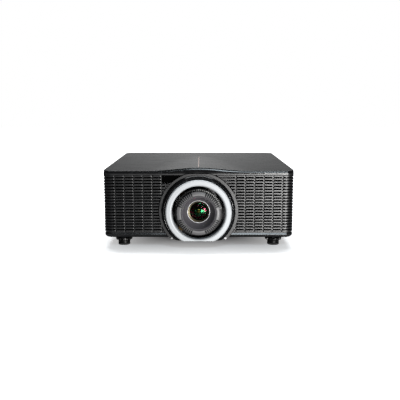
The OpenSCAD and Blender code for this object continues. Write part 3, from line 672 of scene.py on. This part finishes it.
def sweep(bm, path, section):
    """Closed section carried along a plan path; section(i, point) gives (depth, z) pairs."""
    rows = []
    for i, (point, inward) in enumerate(path):
        row = []
        for depth, z in section(i, point):
            place = point + inward * depth
            row.append(bm.verts.new((place.x, place.y, z)))
        rows.append(row)
    grid_faces(bm, rows, False, True)
    bm.faces.new(rows[0])
    bm.faces.new(rows[-1][::-1])


def build_band():
    """Glossy band under the lid: a shallow convex face that grows taller under the crown."""
    low = BAND_LO.z
    gap = 1.5 * MM
    thick = 3 * MM
    lean = math.radians(31)
    lip = 0.35 * MM
    steps = 10

    def section(_, point):
        height = LID_Z - gap + crown(point.x, 0) - low
        depth = min(0.27 * height, 2.6 * MM)
        points = [(thick, low), (0.5 * MM, low), (0.12 * MM, low + 0.12 * MM)]
        for i in range(1, steps + 1):
            a = lean * i / steps
            out = depth * (1 - math.cos(a)) / (1 - math.cos(lean))
            points.append((out, low + height * math.sin(a) / math.sin(lean)))
        top = points[-1][1]
        points[-1] = (points[-1][0] + lip, top)
        points.append((thick, top))
        return points

    bm = bmesh.new()
    sweep(bm, wrap_path(), section)
    new_piece("gloss_band", bm, "root", "gloss_black", BAND_GLOSS, replaces=["front_band"])


def brick_depth(x):
    """How far a fin's face lies behind the outline at x: bricks with rounded ends, grooves between."""
    offset = (abs(x) - GROOVE_X0) / GROOVE_PITCH
    if offset > GROOVE_COUNT - 0.5:
        return 0.0
    nearest = max(0, round(offset))
    from_groove = abs(offset - nearest) * GROOVE_PITCH
    if from_groove < GROOVE_HALF:
        return GROOVE_D
    across = min(1.0, (from_groove - GROOVE_HALF) / BRICK_ROUND)
    return BRICK_DROP * (1 - across) ** 2


def fin_path(x_from):
    """Plan path of one fin on the +X side, with points close together at the grooves."""
    flat = HALF_W - CORNER_R
    marks = [x_from]
    for k in range(GROOVE_COUNT):
        centre = GROOVE_X0 + k * GROOVE_PITCH
        for off in (-3.3, -2.4, -1.7, -1.12, -1.08, 1.08, 1.12, 1.7, 2.4, 3.3, 8.0, 12.0, 16.0):
            x = centre + off * MM
            if x_from + 0.2 * MM < x < flat - 0.2 * MM:
                marks.append(x)
    path = [(Vector((x, FRONT_Y)), Vector((0, 1))) for x in sorted(marks)]
    for i in range(13):
        a = math.pi / 2 * i / 12
        out = Vector((math.sin(a), -math.cos(a)))
        path.append((Vector((flat, FRONT_Y + CORNER_R)) + out * CORNER_R, -out))
    path.append((Vector((HALF_W, WRAP_Y)), Vector((-1, 0))))
    return path


def fin_section(z, front):
    """Section of a fin: front edge well rounded, back square."""
    corner = 0.9 * MM
    points = [(FIN_D, z), (front + corner, z)]
    for i in range(1, 5):
        a = math.pi / 2 * i / 4
        points.append((front + corner * (1 - math.sin(a)), z + corner * (1 - math.cos(a))))
    for i in range(5):
        a = math.pi / 2 * i / 4
        points.append((front + corner * (1 - math.cos(a)), z + FIN_H - corner * (1 - math.sin(a))))
    points.append((FIN_D, z + FIN_H))
    return points


def build_grille(side):
    """One grille: twenty rows of bricks that wrap the corner as plain fins, with ribs behind."""
    bm = bmesh.new()
    reach = RIM_R + 0.4 * MM
    window = WINDOW_LO.x - 0.3 * MM
    for i in range(FIN_COUNT):
        z = GRILLE_LO.z + i * FIN_PITCH
        off = min(abs(z - RING_Z), abs(z + FIN_H - RING_Z))
        if z < RING_Z < z + FIN_H:
            off = 0
        start = math.sqrt(max((30 * MM) ** 2, reach ** 2 - off ** 2))
        if side < 0 and z + FIN_H > WINDOW_LO.z - 0.3 * MM:
            start = max(start, -window)

        def section(_, point, z=z):
            return fin_section(z, brick_depth(point.x) if point.y <= FRONT_Y + 1e-6 else 0)

        sweep(bm, fin_path(start), section)
    top = GRILLE_LO.z + (FIN_COUNT - 1) * FIN_PITCH + FIN_H
    rib_front = FRONT_Y + GROOVE_D + 0.2 * MM
    for k in range(GROOVE_COUNT):
        x = GROOVE_X0 + k * GROOVE_PITCH
        spans = [(GRILLE_LO.z, top)]
        if x < reach:
            cut = math.sqrt(reach ** 2 - x ** 2) + 1 * MM
            spans = [(GRILLE_LO.z, RING_Z - cut), (RING_Z + cut, top)]
        for low, high in spans:
            if high - low > 2 * MM and not (side < 0 and x < -window and low > RING_Z):
                add_block(bm, (x - RIB_HALF, rib_front, low), (x + RIB_HALF, FRONT_Y + FIN_D, high))
    add_block(
        bm,
        (HALF_W - FIN_D, WRAP_Y - 3 * MM, GRILLE_LO.z),
        (HALF_W - 5 * MM, WRAP_Y, top),
    )
    flat = HALF_W - CORNER_R
    wrap = [step for step in fin_path(flat - 12 * MM) if step[0].x > flat - 1e-6]
    near = FIN_D - 0.2 * MM
    far = FIN_D + 0.8 * MM
    screen = [(near, GRILLE_LO.z), (far, GRILLE_LO.z), (far, top), (near, top)]
    sweep(bm, wrap, lambda _, p: screen)
    if side < 0:
        bmesh.ops.scale(bm, vec=(-1, 1, 1), verts=bm.verts)
    name = "grille_right" if side > 0 else "grille_left"
    new_piece(name + "_fins", bm, "root", "grille_grey", replaces=[name], sharp=40)


# ---- lens rings ----

def build_rim_ring():
    """Gloss black ring: a convex shoulder outside and fine teeth beside the silver ring."""
    front = BLACK_LO.y
    back = BLACK_HI.y
    shoulder = RING_HI.y + 0.3 * MM
    tooth_points = (3, 4, 5)
    outline = [
        (RING_BORE + 2 * MM, back),
        (RING_BORE + 2 * MM, shoulder),
        (SILVER_R + 0.4 * MM, shoulder),
        (SILVER_R + 0.4 * MM, front + 1.6 * MM),
        (SILVER_R + 1.5 * MM, front + 0.3 * MM),
        (SILVER_R + 2.7 * MM, front + 0.3 * MM),
        (SILVER_R + 3.1 * MM, front + 0.9 * MM),
    ]
    crest = [(BLACK_R - 5.4 * MM, front + 0.2 * MM), (BLACK_R, front + 6.5 * MM), (BLACK_R, back)]
    crest = rounded([outline[-1]] + crest, [0, 2 * MM, 3 * MM, 0], 5, False)
    profile = [Vector(p) for p in outline] + crest[1:]

    def teeth(index, angle, radius, y):
        if index in tooth_points and round(angle / TAU * 2 * TEETH_FINE) % 2:
            return radius, y + 0.9 * MM
        return radius, y

    bm = lathe(profile, RING_Z, 2 * TEETH_FINE, teeth)
    cut_below(bm, CHORD_Z)
    new_piece("black_ring_body", bm, "root", "gloss_black", replaces=["black_ring"], sharp=28)


def build_silver_ring():
    """Broad satin ring with softened edges and the flat cut across its foot."""
    front = RING_LO.y
    back = RING_HI.y
    points = [
        (RING_BORE, back),
        (RING_BORE, front + 3.2 * MM),
        (RING_BORE + 2.0 * MM, front + 0.6 * MM),
        (RING_BORE + 4.2 * MM, front),
        (RING_BORE + 5.4 * MM, front),
        (SILVER_R - 4.2 * MM, front + 0.1 * MM),
        (SILVER_R - 2.6 * MM, front + 0.15 * MM),
        (SILVER_R, front + 2.8 * MM),
        (SILVER_R, back),
    ]
    profile = rounded(points, [0, 0.8 * MM, 0.9 * MM, 0.9 * MM, 0, 0, 0.9 * MM, 0.8 * MM, 0], 5)
    bm = lathe(profile, RING_Z, 288)
    cut_below(bm, CHORD_Z)
    ring = new_piece(
        "silver_ring_body_face", bm, "silver_ring_body", "satin_aluminium", replaces=["silver_ring"]
    )
    add_bevel(ring, 0.7 * MM)


def rib_region(angle):
    """1 on the ribbed quarters between the smooth pads at top, bottom and sides, 0 on the pads."""
    from_pad = abs((angle / (TAU / 4) + 0.5) % 1 - 0.5) * 90
    return min(1.0, max(0.0, (from_pad - PAD_HALF_DEG) / 2.5))


def build_grip_ring():
    """Focus ring: four smooth pads with ribs between them, and the index flange behind."""
    front = GRIP_LO.y
    gear_front = GRIP_HI.y - GEAR_W
    bore = GRIP_BORE
    outer = GRIP_R
    points = [
        (bore, GRIP_HI.y - 0.2 * MM),
        (bore, front + 1.4 * MM),
        (bore + 1.2 * MM, front + 0.2 * MM),
        (bore + 3.4 * MM, front),
        (bore + 5.0 * MM, front + 0.15 * MM),
        (bore + 7.2 * MM, front + 0.9 * MM),
        (outer - 1.2 * MM, front + 1.9 * MM),
        (outer, front + 3.6 * MM),
        (outer, front + 14 * MM),
        (outer - 2 * MM, front + 15 * MM),
        (outer - 2 * MM, gear_front - 0.1 * MM),
        (outer - 2 * MM, GRIP_HI.y - 0.2 * MM),
    ]
    ribbed = range(3, 9)

    def ribs(index, angle, radius, y):
        if index not in ribbed:
            return radius, y
        wave = 0.5 - 0.5 * math.cos(RIBS * angle)
        depth = rib_region(angle) * min(1.0, max(0.0, 2 * wave - 0.5))
        if index == 8:
            return radius - RIB_INSET * depth, y
        if index == 7:
            return radius - RIB_INSET * depth, y + 3.4 * MM * depth
        return radius - 0.4 * MM * depth, y + RIB_DEPTH * depth

    bm = lathe([Vector(p) for p in points], LENS_Z, RIBS * 8, ribs)
    new_piece(
        "focus_grip", bm, "focus_ring_body", "lens_black", GRIP_GROOVE_SHADE, replaces=["focus_ring"], sharp=34
    )
    flange = [(outer - 3 * MM, 15.0), (INDEX_R, 15.0), (INDEX_R, 16.2), (outer - 3 * MM, 16.2)]
    bm = lathe([Vector((r, front + y * MM)) for r, y in flange], LENS_Z)
    new_piece("focus_index_flange", bm, "focus_ring_body", "lens_black", MATERIALS["foot_plastic"])


def build_gear():
    """Gear ring at the back of the focus ring, with flanked teeth."""
    high = GRIP_HI.y
    low = high - GEAR_W
    tooth = (-1.2, -1.2, -1.0, 0.8, 0.9, 0.8, -1.0)
    rows = []
    bm = bmesh.new()
    count = GEAR_TEETH * len(tooth)
    for s in range(count):
        angle = TAU * s / count
        r = GEAR_R + tooth[s % len(tooth)] * MM
        c = math.cos(angle)
        d = math.sin(angle)
        corners = [(GEAR_BORE, high), (GEAR_BORE, low), (r - 0.3 * MM, low), (r, low + 0.3 * MM)]
        corners += [(r, high - 0.3 * MM), (r - 0.3 * MM, high)]
        rows.append([bm.verts.new((q * c, y, LENS_Z + q * d)) for q, y in corners])
    grid_faces(bm, rows, True, True)
    new_piece("focus_gear", bm, "focus_ring_body", "lens_black", sharp=30)


def build_tooth_glint_marks():
    """White marks on the index flange of the focus ring, round its top and its +X side: painted highlights
    standing in for light caught on the gear teeth.
    """
    bm = bmesh.new()
    front = GRIP_LO.y + 14.8 * MM
    # Painted highlight: white ticks stand in for light caught on the gear teeth, only round the top and
    # the +X side.
    for k in range(-3, 16):
        angle = math.radians(90 - 5.2 * k)
        reach = INDEX_R - (0.3 * MM if k % 5 == 0 else 1.3 * MM)
        along = Vector((math.cos(angle), 0, math.sin(angle)))
        side = Vector((-along.z, 0, along.x)) * 0.35 * MM
        rows = []
        for y in (front, front + 0.6 * MM):
            centre = Vector((0, y, LENS_Z))
            ends = ((GRIP_R, -1), (GRIP_R, 1), (reach, 1), (reach, -1))
            rows.append([bm.verts.new(centre + (along * r + side * way)) for r, way in ends])
        grid_faces(bm, rows, False, True)
        bm.faces.new(rows[0])
        bm.faces.new(rows[1][::-1])
    new_piece("focus_tooth_glint_marks", bm, "focus_ring_body", "lens_black", TOOTH_GLINT_PAINT)


def build_front_cell():
    """Sliding front cell: satin cone running in to the chrome ring, with a fine step at its mouth."""
    front = CELL_LO.y
    back = CELL_HI.y
    outer = (CELL_HI.x - CELL_LO.x) / 2
    seat = CHROME_LO.y + 1.2 * MM
    mouth = [
        (outer, back),
        (outer, front + 0.9 * MM),
        (outer - 0.7 * MM, front + 0.1 * MM),
        (outer - 1.5 * MM, front + 0.2 * MM),
        (outer - 1.9 * MM, front + 1.6 * MM),
        (outer - 2.5 * MM, front + 1.7 * MM),
    ]
    steps = 18
    cone = []
    for i in range(1, steps + 1):
        t = i / steps
        radius = outer - 2.5 * MM + (CHROME_R + 0.1 * MM - outer + 2.5 * MM) * t
        swell = t + 0.08 * math.sin(math.pi * t)
        cone.append((radius, front + 1.7 * MM + (seat - front - 1.7 * MM) * swell))
    tail = [(CHROME_R + 0.1 * MM, back)]
    bm = lathe([Vector(p) for p in mouth + cone + tail], LENS_Z, 256)
    new_piece(
        "front_cell_cone", bm, "front_cell_body", "lens_black", CONE_GREY, replaces=["front_cell"]
    )


def build_retaining_ring():
    """Bright bead round a stepped throat that holds the front element."""
    front = CHROME_LO.y
    back = CHROME_HI.y
    bead = 0.8 * MM
    profile = [(CHROME_R, back), (CHROME_R, front + bead)]
    for i in range(1, 8):
        a = math.pi * i / 8
        profile.append((CHROME_R - bead + bead * math.cos(a), front + bead - bead * math.sin(a)))
    profile.append((CHROME_R - 2 * bead, front + bead))
    throat = []
    steps = 5
    top = CHROME_R - 2 * bead
    drop = back - front - bead - 1 * MM
    for i in range(steps):
        r = top - (top - GLASS_R - 0.3 * MM) * (i + 1) / steps
        y = front + bead + drop * (i + 0.25) / steps
        throat += [(r + 0.8 * MM, y), (r, y + 0.2 * MM), (r, y + drop * 0.72 / steps)]
    bm = lathe([Vector(p) for p in profile + [(CHROME_R - 2 * bead, back)]], LENS_Z, 224)
    new_piece("retaining_bead", bm, "front_cell_body", "bright_chrome", replaces=["retaining_ring"])
    inner = [(top - 0.02 * MM, back), (top - 0.02 * MM, front + bead)]
    inner += throat + [(GLASS_R + 0.3 * MM, back)]
    bm = lathe([Vector(p) for p in inner], LENS_Z, 224)
    new_piece("retaining_throat", bm, "front_cell_body", "bright_chrome", THROAT_METAL)


def dome(radius, edge, vertex_y, thickness):
    """Profile of a meniscus element bulging to the front; closed on the axis."""
    steps = 18
    outer = []
    top = math.asin(edge / radius)
    for i in range(steps + 1):
        a = top * i / steps
        outer.append((max(1e-9, radius * math.sin(a)), vertex_y + radius * (1 - math.cos(a))))
    inner = [(p[0], p[1] + thickness) for p in reversed(outer)]
    return [Vector(p) for p in outer + inner]


def build_elements():
    """Front glass and the coated element seen through it."""
    front = GLASS_LO.y
    bm = lathe(dome(GLASS_CURVE, GLASS_R, front, 1.8 * MM), LENS_Z, 160)
    new_piece("front_element", bm, "front_cell_body", "coated_glass", replaces=["front_glass"])
    bm = lathe(dome(INNER_CURVE, GLASS_R - 1.2 * MM, front + 4.6 * MM, 0.6 * MM), LENS_Z, 160)
    new_piece("second_element", bm, "front_cell_body", "coated_glass", INNER_COATING)


# ---- feet ----

def thread(radius, low, high, pitch):
    """Profile of an external thread drawn as close rings."""
    points = []
    turns = int((high - low) / pitch)
    for i in range(turns):
        z = low + pitch * i
        points += [(radius - 0.75 * MM, z), (radius, z + pitch * 0.5)]
    return points


def build_foot(name):
    """Screw foot: scalloped knob moulded on a steel stud, over a ribbed rubber pad."""
    knob_lo, knob_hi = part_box(name + "_knob")
    pad_lo, pad_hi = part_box(name + "_pad")
    x = (knob_lo.x + knob_hi.x) / 2
    y = (knob_lo.y + knob_hi.y) / 2
    flange = (knob_hi.x - knob_lo.x) / 2
    waist = (pad_hi.x - pad_lo.x) / 2
    flange_top = knob_lo.z + FLANGE_TOP
    flange_low = flange_top - FLANGE_H

    def scallops(index, angle, r, z):
        if r < waist + 1 * MM:
            return r, z
        wave = max(0.0, math.cos(FOOT_LOBES * angle))
        return r - 2.6 * MM * (1 - wave) ** 2 * (r / flange) ** 4, z

    points = [
        (0.01 * MM, knob_lo.z),
        (waist * 0.93, knob_lo.z),
        (waist, knob_lo.z + 1.2 * MM),
        (waist, flange_low - 1.2 * MM),
        (waist + 1.6 * MM, flange_low),
        (flange - 1 * MM, flange_low),
        (flange, flange_low + 1.2 * MM),
        (flange, flange_top - 1.8 * MM),
        (flange - 1.8 * MM, flange_top),
        (waist - 2 * MM, flange_top),
        (waist - 4 * MM, flange_top + 0.5 * MM),
        (0.01 * MM, flange_top + 0.5 * MM),
    ]
    profile = rounded(points, [0, 0.6 * MM, 0.6 * MM, 0.6 * MM, 0.5 * MM] + [0.6 * MM] * 6 + [0], 3)
    bm = upright_lathe(profile, x, y, 168, scallops)
    new_piece(name + "_knob_body", bm, name + "_knob_body", "foot_plastic", replaces=[name + "_knob"])
    low = flange_top + 0.3 * MM
    shank = [(0.01 * MM, low), (STUD_R - 0.8 * MM, low)]
    shank += thread(STUD_R, low, knob_hi.z - 1.2 * MM, 1.5 * MM)
    shank += [(STUD_R - 1.2 * MM, knob_hi.z), (0.01 * MM, knob_hi.z)]
    bm = upright_lathe([Vector(p) for p in shank], x, y, 48)
    new_piece(name + "_stud", bm, name + "_knob_body", "steel", sharp=50)

    def treads(index, angle, r, z):
        if r > waist * 0.9 and z < pad_hi.z - 1 * MM and round(angle / TAU * 72) % 2:
            return r - 0.5 * MM, z
        return r, z

    points = [
        (0.01 * MM, pad_lo.z + 0.4 * MM),
        (waist * 0.45, pad_lo.z + 0.4 * MM),
        (waist * 0.5, pad_lo.z),
        (waist - 0.5 * MM, pad_lo.z),
        (waist + 0.2 * MM, pad_lo.z + 0.9 * MM),
        (waist + 0.2 * MM, knob_lo.z - 0.8 * MM),
        (waist - 0.3 * MM, knob_lo.z - 0.2 * MM),
        (waist * 0.3, knob_lo.z - 0.2 * MM),
        (waist * 0.3, pad_hi.z - 0.2 * MM),
        (0.01 * MM, pad_hi.z - 0.2 * MM),
    ]
    bm = upright_lathe([Vector(p) for p in points], x, y, 144, treads)
    new_piece(
        name + "_pad_tread", bm, name + "_pad_body", "pad_rubber", replaces=[name + "_pad"], sharp=40
    )


# ---- sides ----

def build_side_mesh(side, name):
    """Pleated black dust mesh behind the air slots of one side panel."""
    bm = bmesh.new()
    low = MESH_LO.z
    high = MESH_HI.z
    steps = round((MESH_HI.y - MESH_LO.y) / PLEAT)
    rows = []
    for i in range(steps + 1):
        y = MESH_LO.y + PLEAT * i
        near = HALF_W - PANEL_WALL - (0.9 if i % 2 else 0.4) * MM
        ends = ((near, low), (near, high), (near - MESH_T, high), (near - MESH_T, low))
        rows.append([bm.verts.new((side * x, y, z)) for x, z in ends])
    grid_faces(bm, rows, False, True)
    bm.faces.new(rows[0])
    bm.faces.new(rows[-1][::-1])
    new_piece(name, bm, "root", "foam")


# ---- making ----

def build_object():
    """Makes every visual piece and finishes the CAD pieces that stay."""
    finish_cad_nodes()
    build_lid()
    build_band()
    build_grille(-1)
    build_grille(1)
    build_rim_ring()
    build_silver_ring()
    build_grip_ring()
    build_gear()
    build_tooth_glint_marks()
    build_front_cell()
    build_retaining_ring()
    build_elements()
    build_side_mesh(-1, "side_mesh_left")
    build_side_mesh(1, "side_mesh_right")
    for name in ("front_left", "front_right", "rear_left", "rear_right"):
        build_foot(name)


# ---- studio ----

def add_area(name, location, target, size, power, color):
    """Rectangular area light that faces its target."""
    light = bpy.data.lights.new(name, "AREA")
    light.shape = "RECTANGLE"
    light.size = size[0]
    light.size_y = size[1]
    light.energy = power
    light.color = color
    lamp = bpy.data.objects.new(name, light)
    lamp.location = location
    lamp.rotation_euler = (Vector(target) - Vector(location)).to_track_quat("-Z", "Y").to_euler()
    bpy.context.scene.collection.objects.link(lamp)


def stage_sheet(name, corners, material):
    """Flat sheet of the studio, not part of the object."""
    bm = bmesh.new()
    bm.faces.new([bm.verts.new(c) for c in corners])
    mesh = bpy.data.meshes.new(name)
    bm.to_mesh(mesh)
    bm.free()
    mesh.materials.append(material)
    sheet = bpy.data.objects.new(name, mesh)
    bpy.context.scene.collection.objects.link(sheet)
    return sheet


def build_floor():
    """Pale floor that glows for the camera only; the glow is lowest under the case and grows away from the
    footprint, a painted shadow round the case that fades into the white surround.
    """
    floor = Shader("studio_floor", (0.9, 0.9, 0.91), 0.7, specular=0.2)
    mirrored = floor.add("ShaderNodeVectorMath", operation="ABSOLUTE")
    floor.link(floor.coords, mirrored.inputs[0])
    beyond = floor.add("ShaderNodeVectorMath", operation="SUBTRACT")
    beyond.inputs[1].default_value = (HALF_W - 20 * MM, REAR_Y - 20 * MM, 0)
    floor.link(mirrored.outputs[0], beyond.inputs[0])
    split = floor.add("ShaderNodeSeparateXYZ")
    floor.link(beyond.outputs[0], split.inputs[0])
    outside = floor.add("ShaderNodeMath", operation="SMOOTH_MAX")
    outside.inputs[2].default_value = 0.1
    floor.link(split.outputs["X"], outside.inputs[0])
    floor.link(split.outputs["Y"], outside.inputs[1])
    floor.set("Emission Color", (1, 1, 1, 1))
    # Painted shadow: the floor's glow is dimmed under and around the footprint.
    painted_shadow_glow = floor.ramp(outside.outputs[0], -0.12, 0.19, 0.04, 1.2)
    path = floor.add("ShaderNodeLightPath")
    seen = floor.add("ShaderNodeMath", operation="MULTIPLY")
    floor.link(painted_shadow_glow, seen.inputs[0])
    floor.link(path.outputs["Is Camera Ray"], seen.inputs[1])
    floor.link(seen.outputs[0], floor.bsdf.inputs["Emission Strength"])
    shade = floor.add("ShaderNodeMix", data_type="RGBA")
    shade.inputs[6].default_value = (0.25, 0.25, 0.25, 1)
    shade.inputs[7].default_value = (0.9, 0.9, 0.91, 1)
    floor.link(path.outputs["Is Camera Ray"], shade.inputs[0])
    floor.link(shade.outputs[2], floor.bsdf.inputs["Base Color"])
    floor.bump(floor.noise(300, 2), 0.02)
    z = CAD_BOX[0].z - 0.3 * MM
    sheet = stage_sheet("studio_floor", [(-4, -1.0, z), (4, -1.0, z), (4, 6, z), (-4, 6, z)], floor.mat)
    sheet.visible_shadow = False


def build_backdrop():
    """White wall far behind, seen in the lid at a shallow angle."""
    wall = Shader("studio_wall", (0.03, 0.03, 0.03), 0.9, specular=0.1)
    wall.set("Emission Color", (1, 1, 1, 1))
    across = wall.add("ShaderNodeSeparateXYZ")
    wall.link(wall.coords, across.inputs[0])
    side = wall.add("ShaderNodeMath", operation="ABSOLUTE")
    wall.link(across.outputs["X"], side.inputs[0])
    level = wall.add("ShaderNodeMath", operation="MULTIPLY")
    wall.link(wall.ramp(side.outputs[0], 0.0, 1.0, 1.0, 0.3), level.inputs[0])
    wall.link(wall.ramp(across.outputs["Z"], 0.25, 0.85, 0.85, 0.04), level.inputs[1])
    wall.link(level.outputs[0], wall.bsdf.inputs["Emission Strength"])
    wall.bump(wall.noise(40, 2), 0.05)
    corners = [(-3, 2.6, 0), (3, 2.6, 0), (3, 2.6, 2.6), (-3, 2.6, 2.6)]
    sheet = stage_sheet("studio_wall", corners, wall.mat)
    sheet.visible_camera = False


def build_world():
    """White surround for the camera, dim for everything else."""
    world = bpy.data.worlds.new("studio")
    bpy.context.scene.world = world
    world.use_nodes = True
    tree = world.node_tree
    background = tree.nodes["Background"]
    background.inputs["Color"].default_value = (1.0, 1.0, 1.0, 1)
    path = tree.nodes.new("ShaderNodeLightPath")
    level = tree.nodes.new("ShaderNodeMapRange")
    level.inputs["To Min"].default_value = 0.03
    level.inputs["To Max"].default_value = 1.0
    tree.links.new(path.outputs["Is Camera Ray"], level.inputs["Value"])
    tree.links.new(level.outputs["Result"], background.inputs["Strength"])


def build_lights():
    """Low light from the right, a weak cool one above it, and a broad one over the lid."""
    add_area("low_right", (0.82, -2.2, -0.22), (0.15, -0.24, 0.1), (0.85, 0.45), 64, (1.0, 0.99, 0.975))
    add_area("key_right", (0.52, -2.0, 1.4), (0.1, -0.24, 0.15), (1.3, 0.45), 12, (0.82, 0.93, 1.0))
    add_area("overhead", (0.0, 0.65, 2.3), (0, 0.1, 0.0), (2.2, 1.1), 76, (0.95, 0.98, 1.0))


def build_camera():
    """Camera at the photograph's viewing angle."""
    cam = bpy.data.cameras.new("camera")
    cam.sensor_width = CAMERA_SENSOR
    cam.lens = CAMERA_LENS
    camera = bpy.data.objects.new("camera", cam)
    camera.location = (CAMERA_X, FRONT_Y - CAMERA_AWAY, CAMERA_Z)
    camera.rotation_euler = (math.radians(90 - CAMERA_DIP), 0, 0)
    bpy.context.scene.collection.objects.link(camera)
    bpy.context.scene.camera = camera


build_object()
build_floor()
build_backdrop()
build_world()
build_lights()
build_camera()
bpy.context.scene.view_settings.view_transform = "Standard"
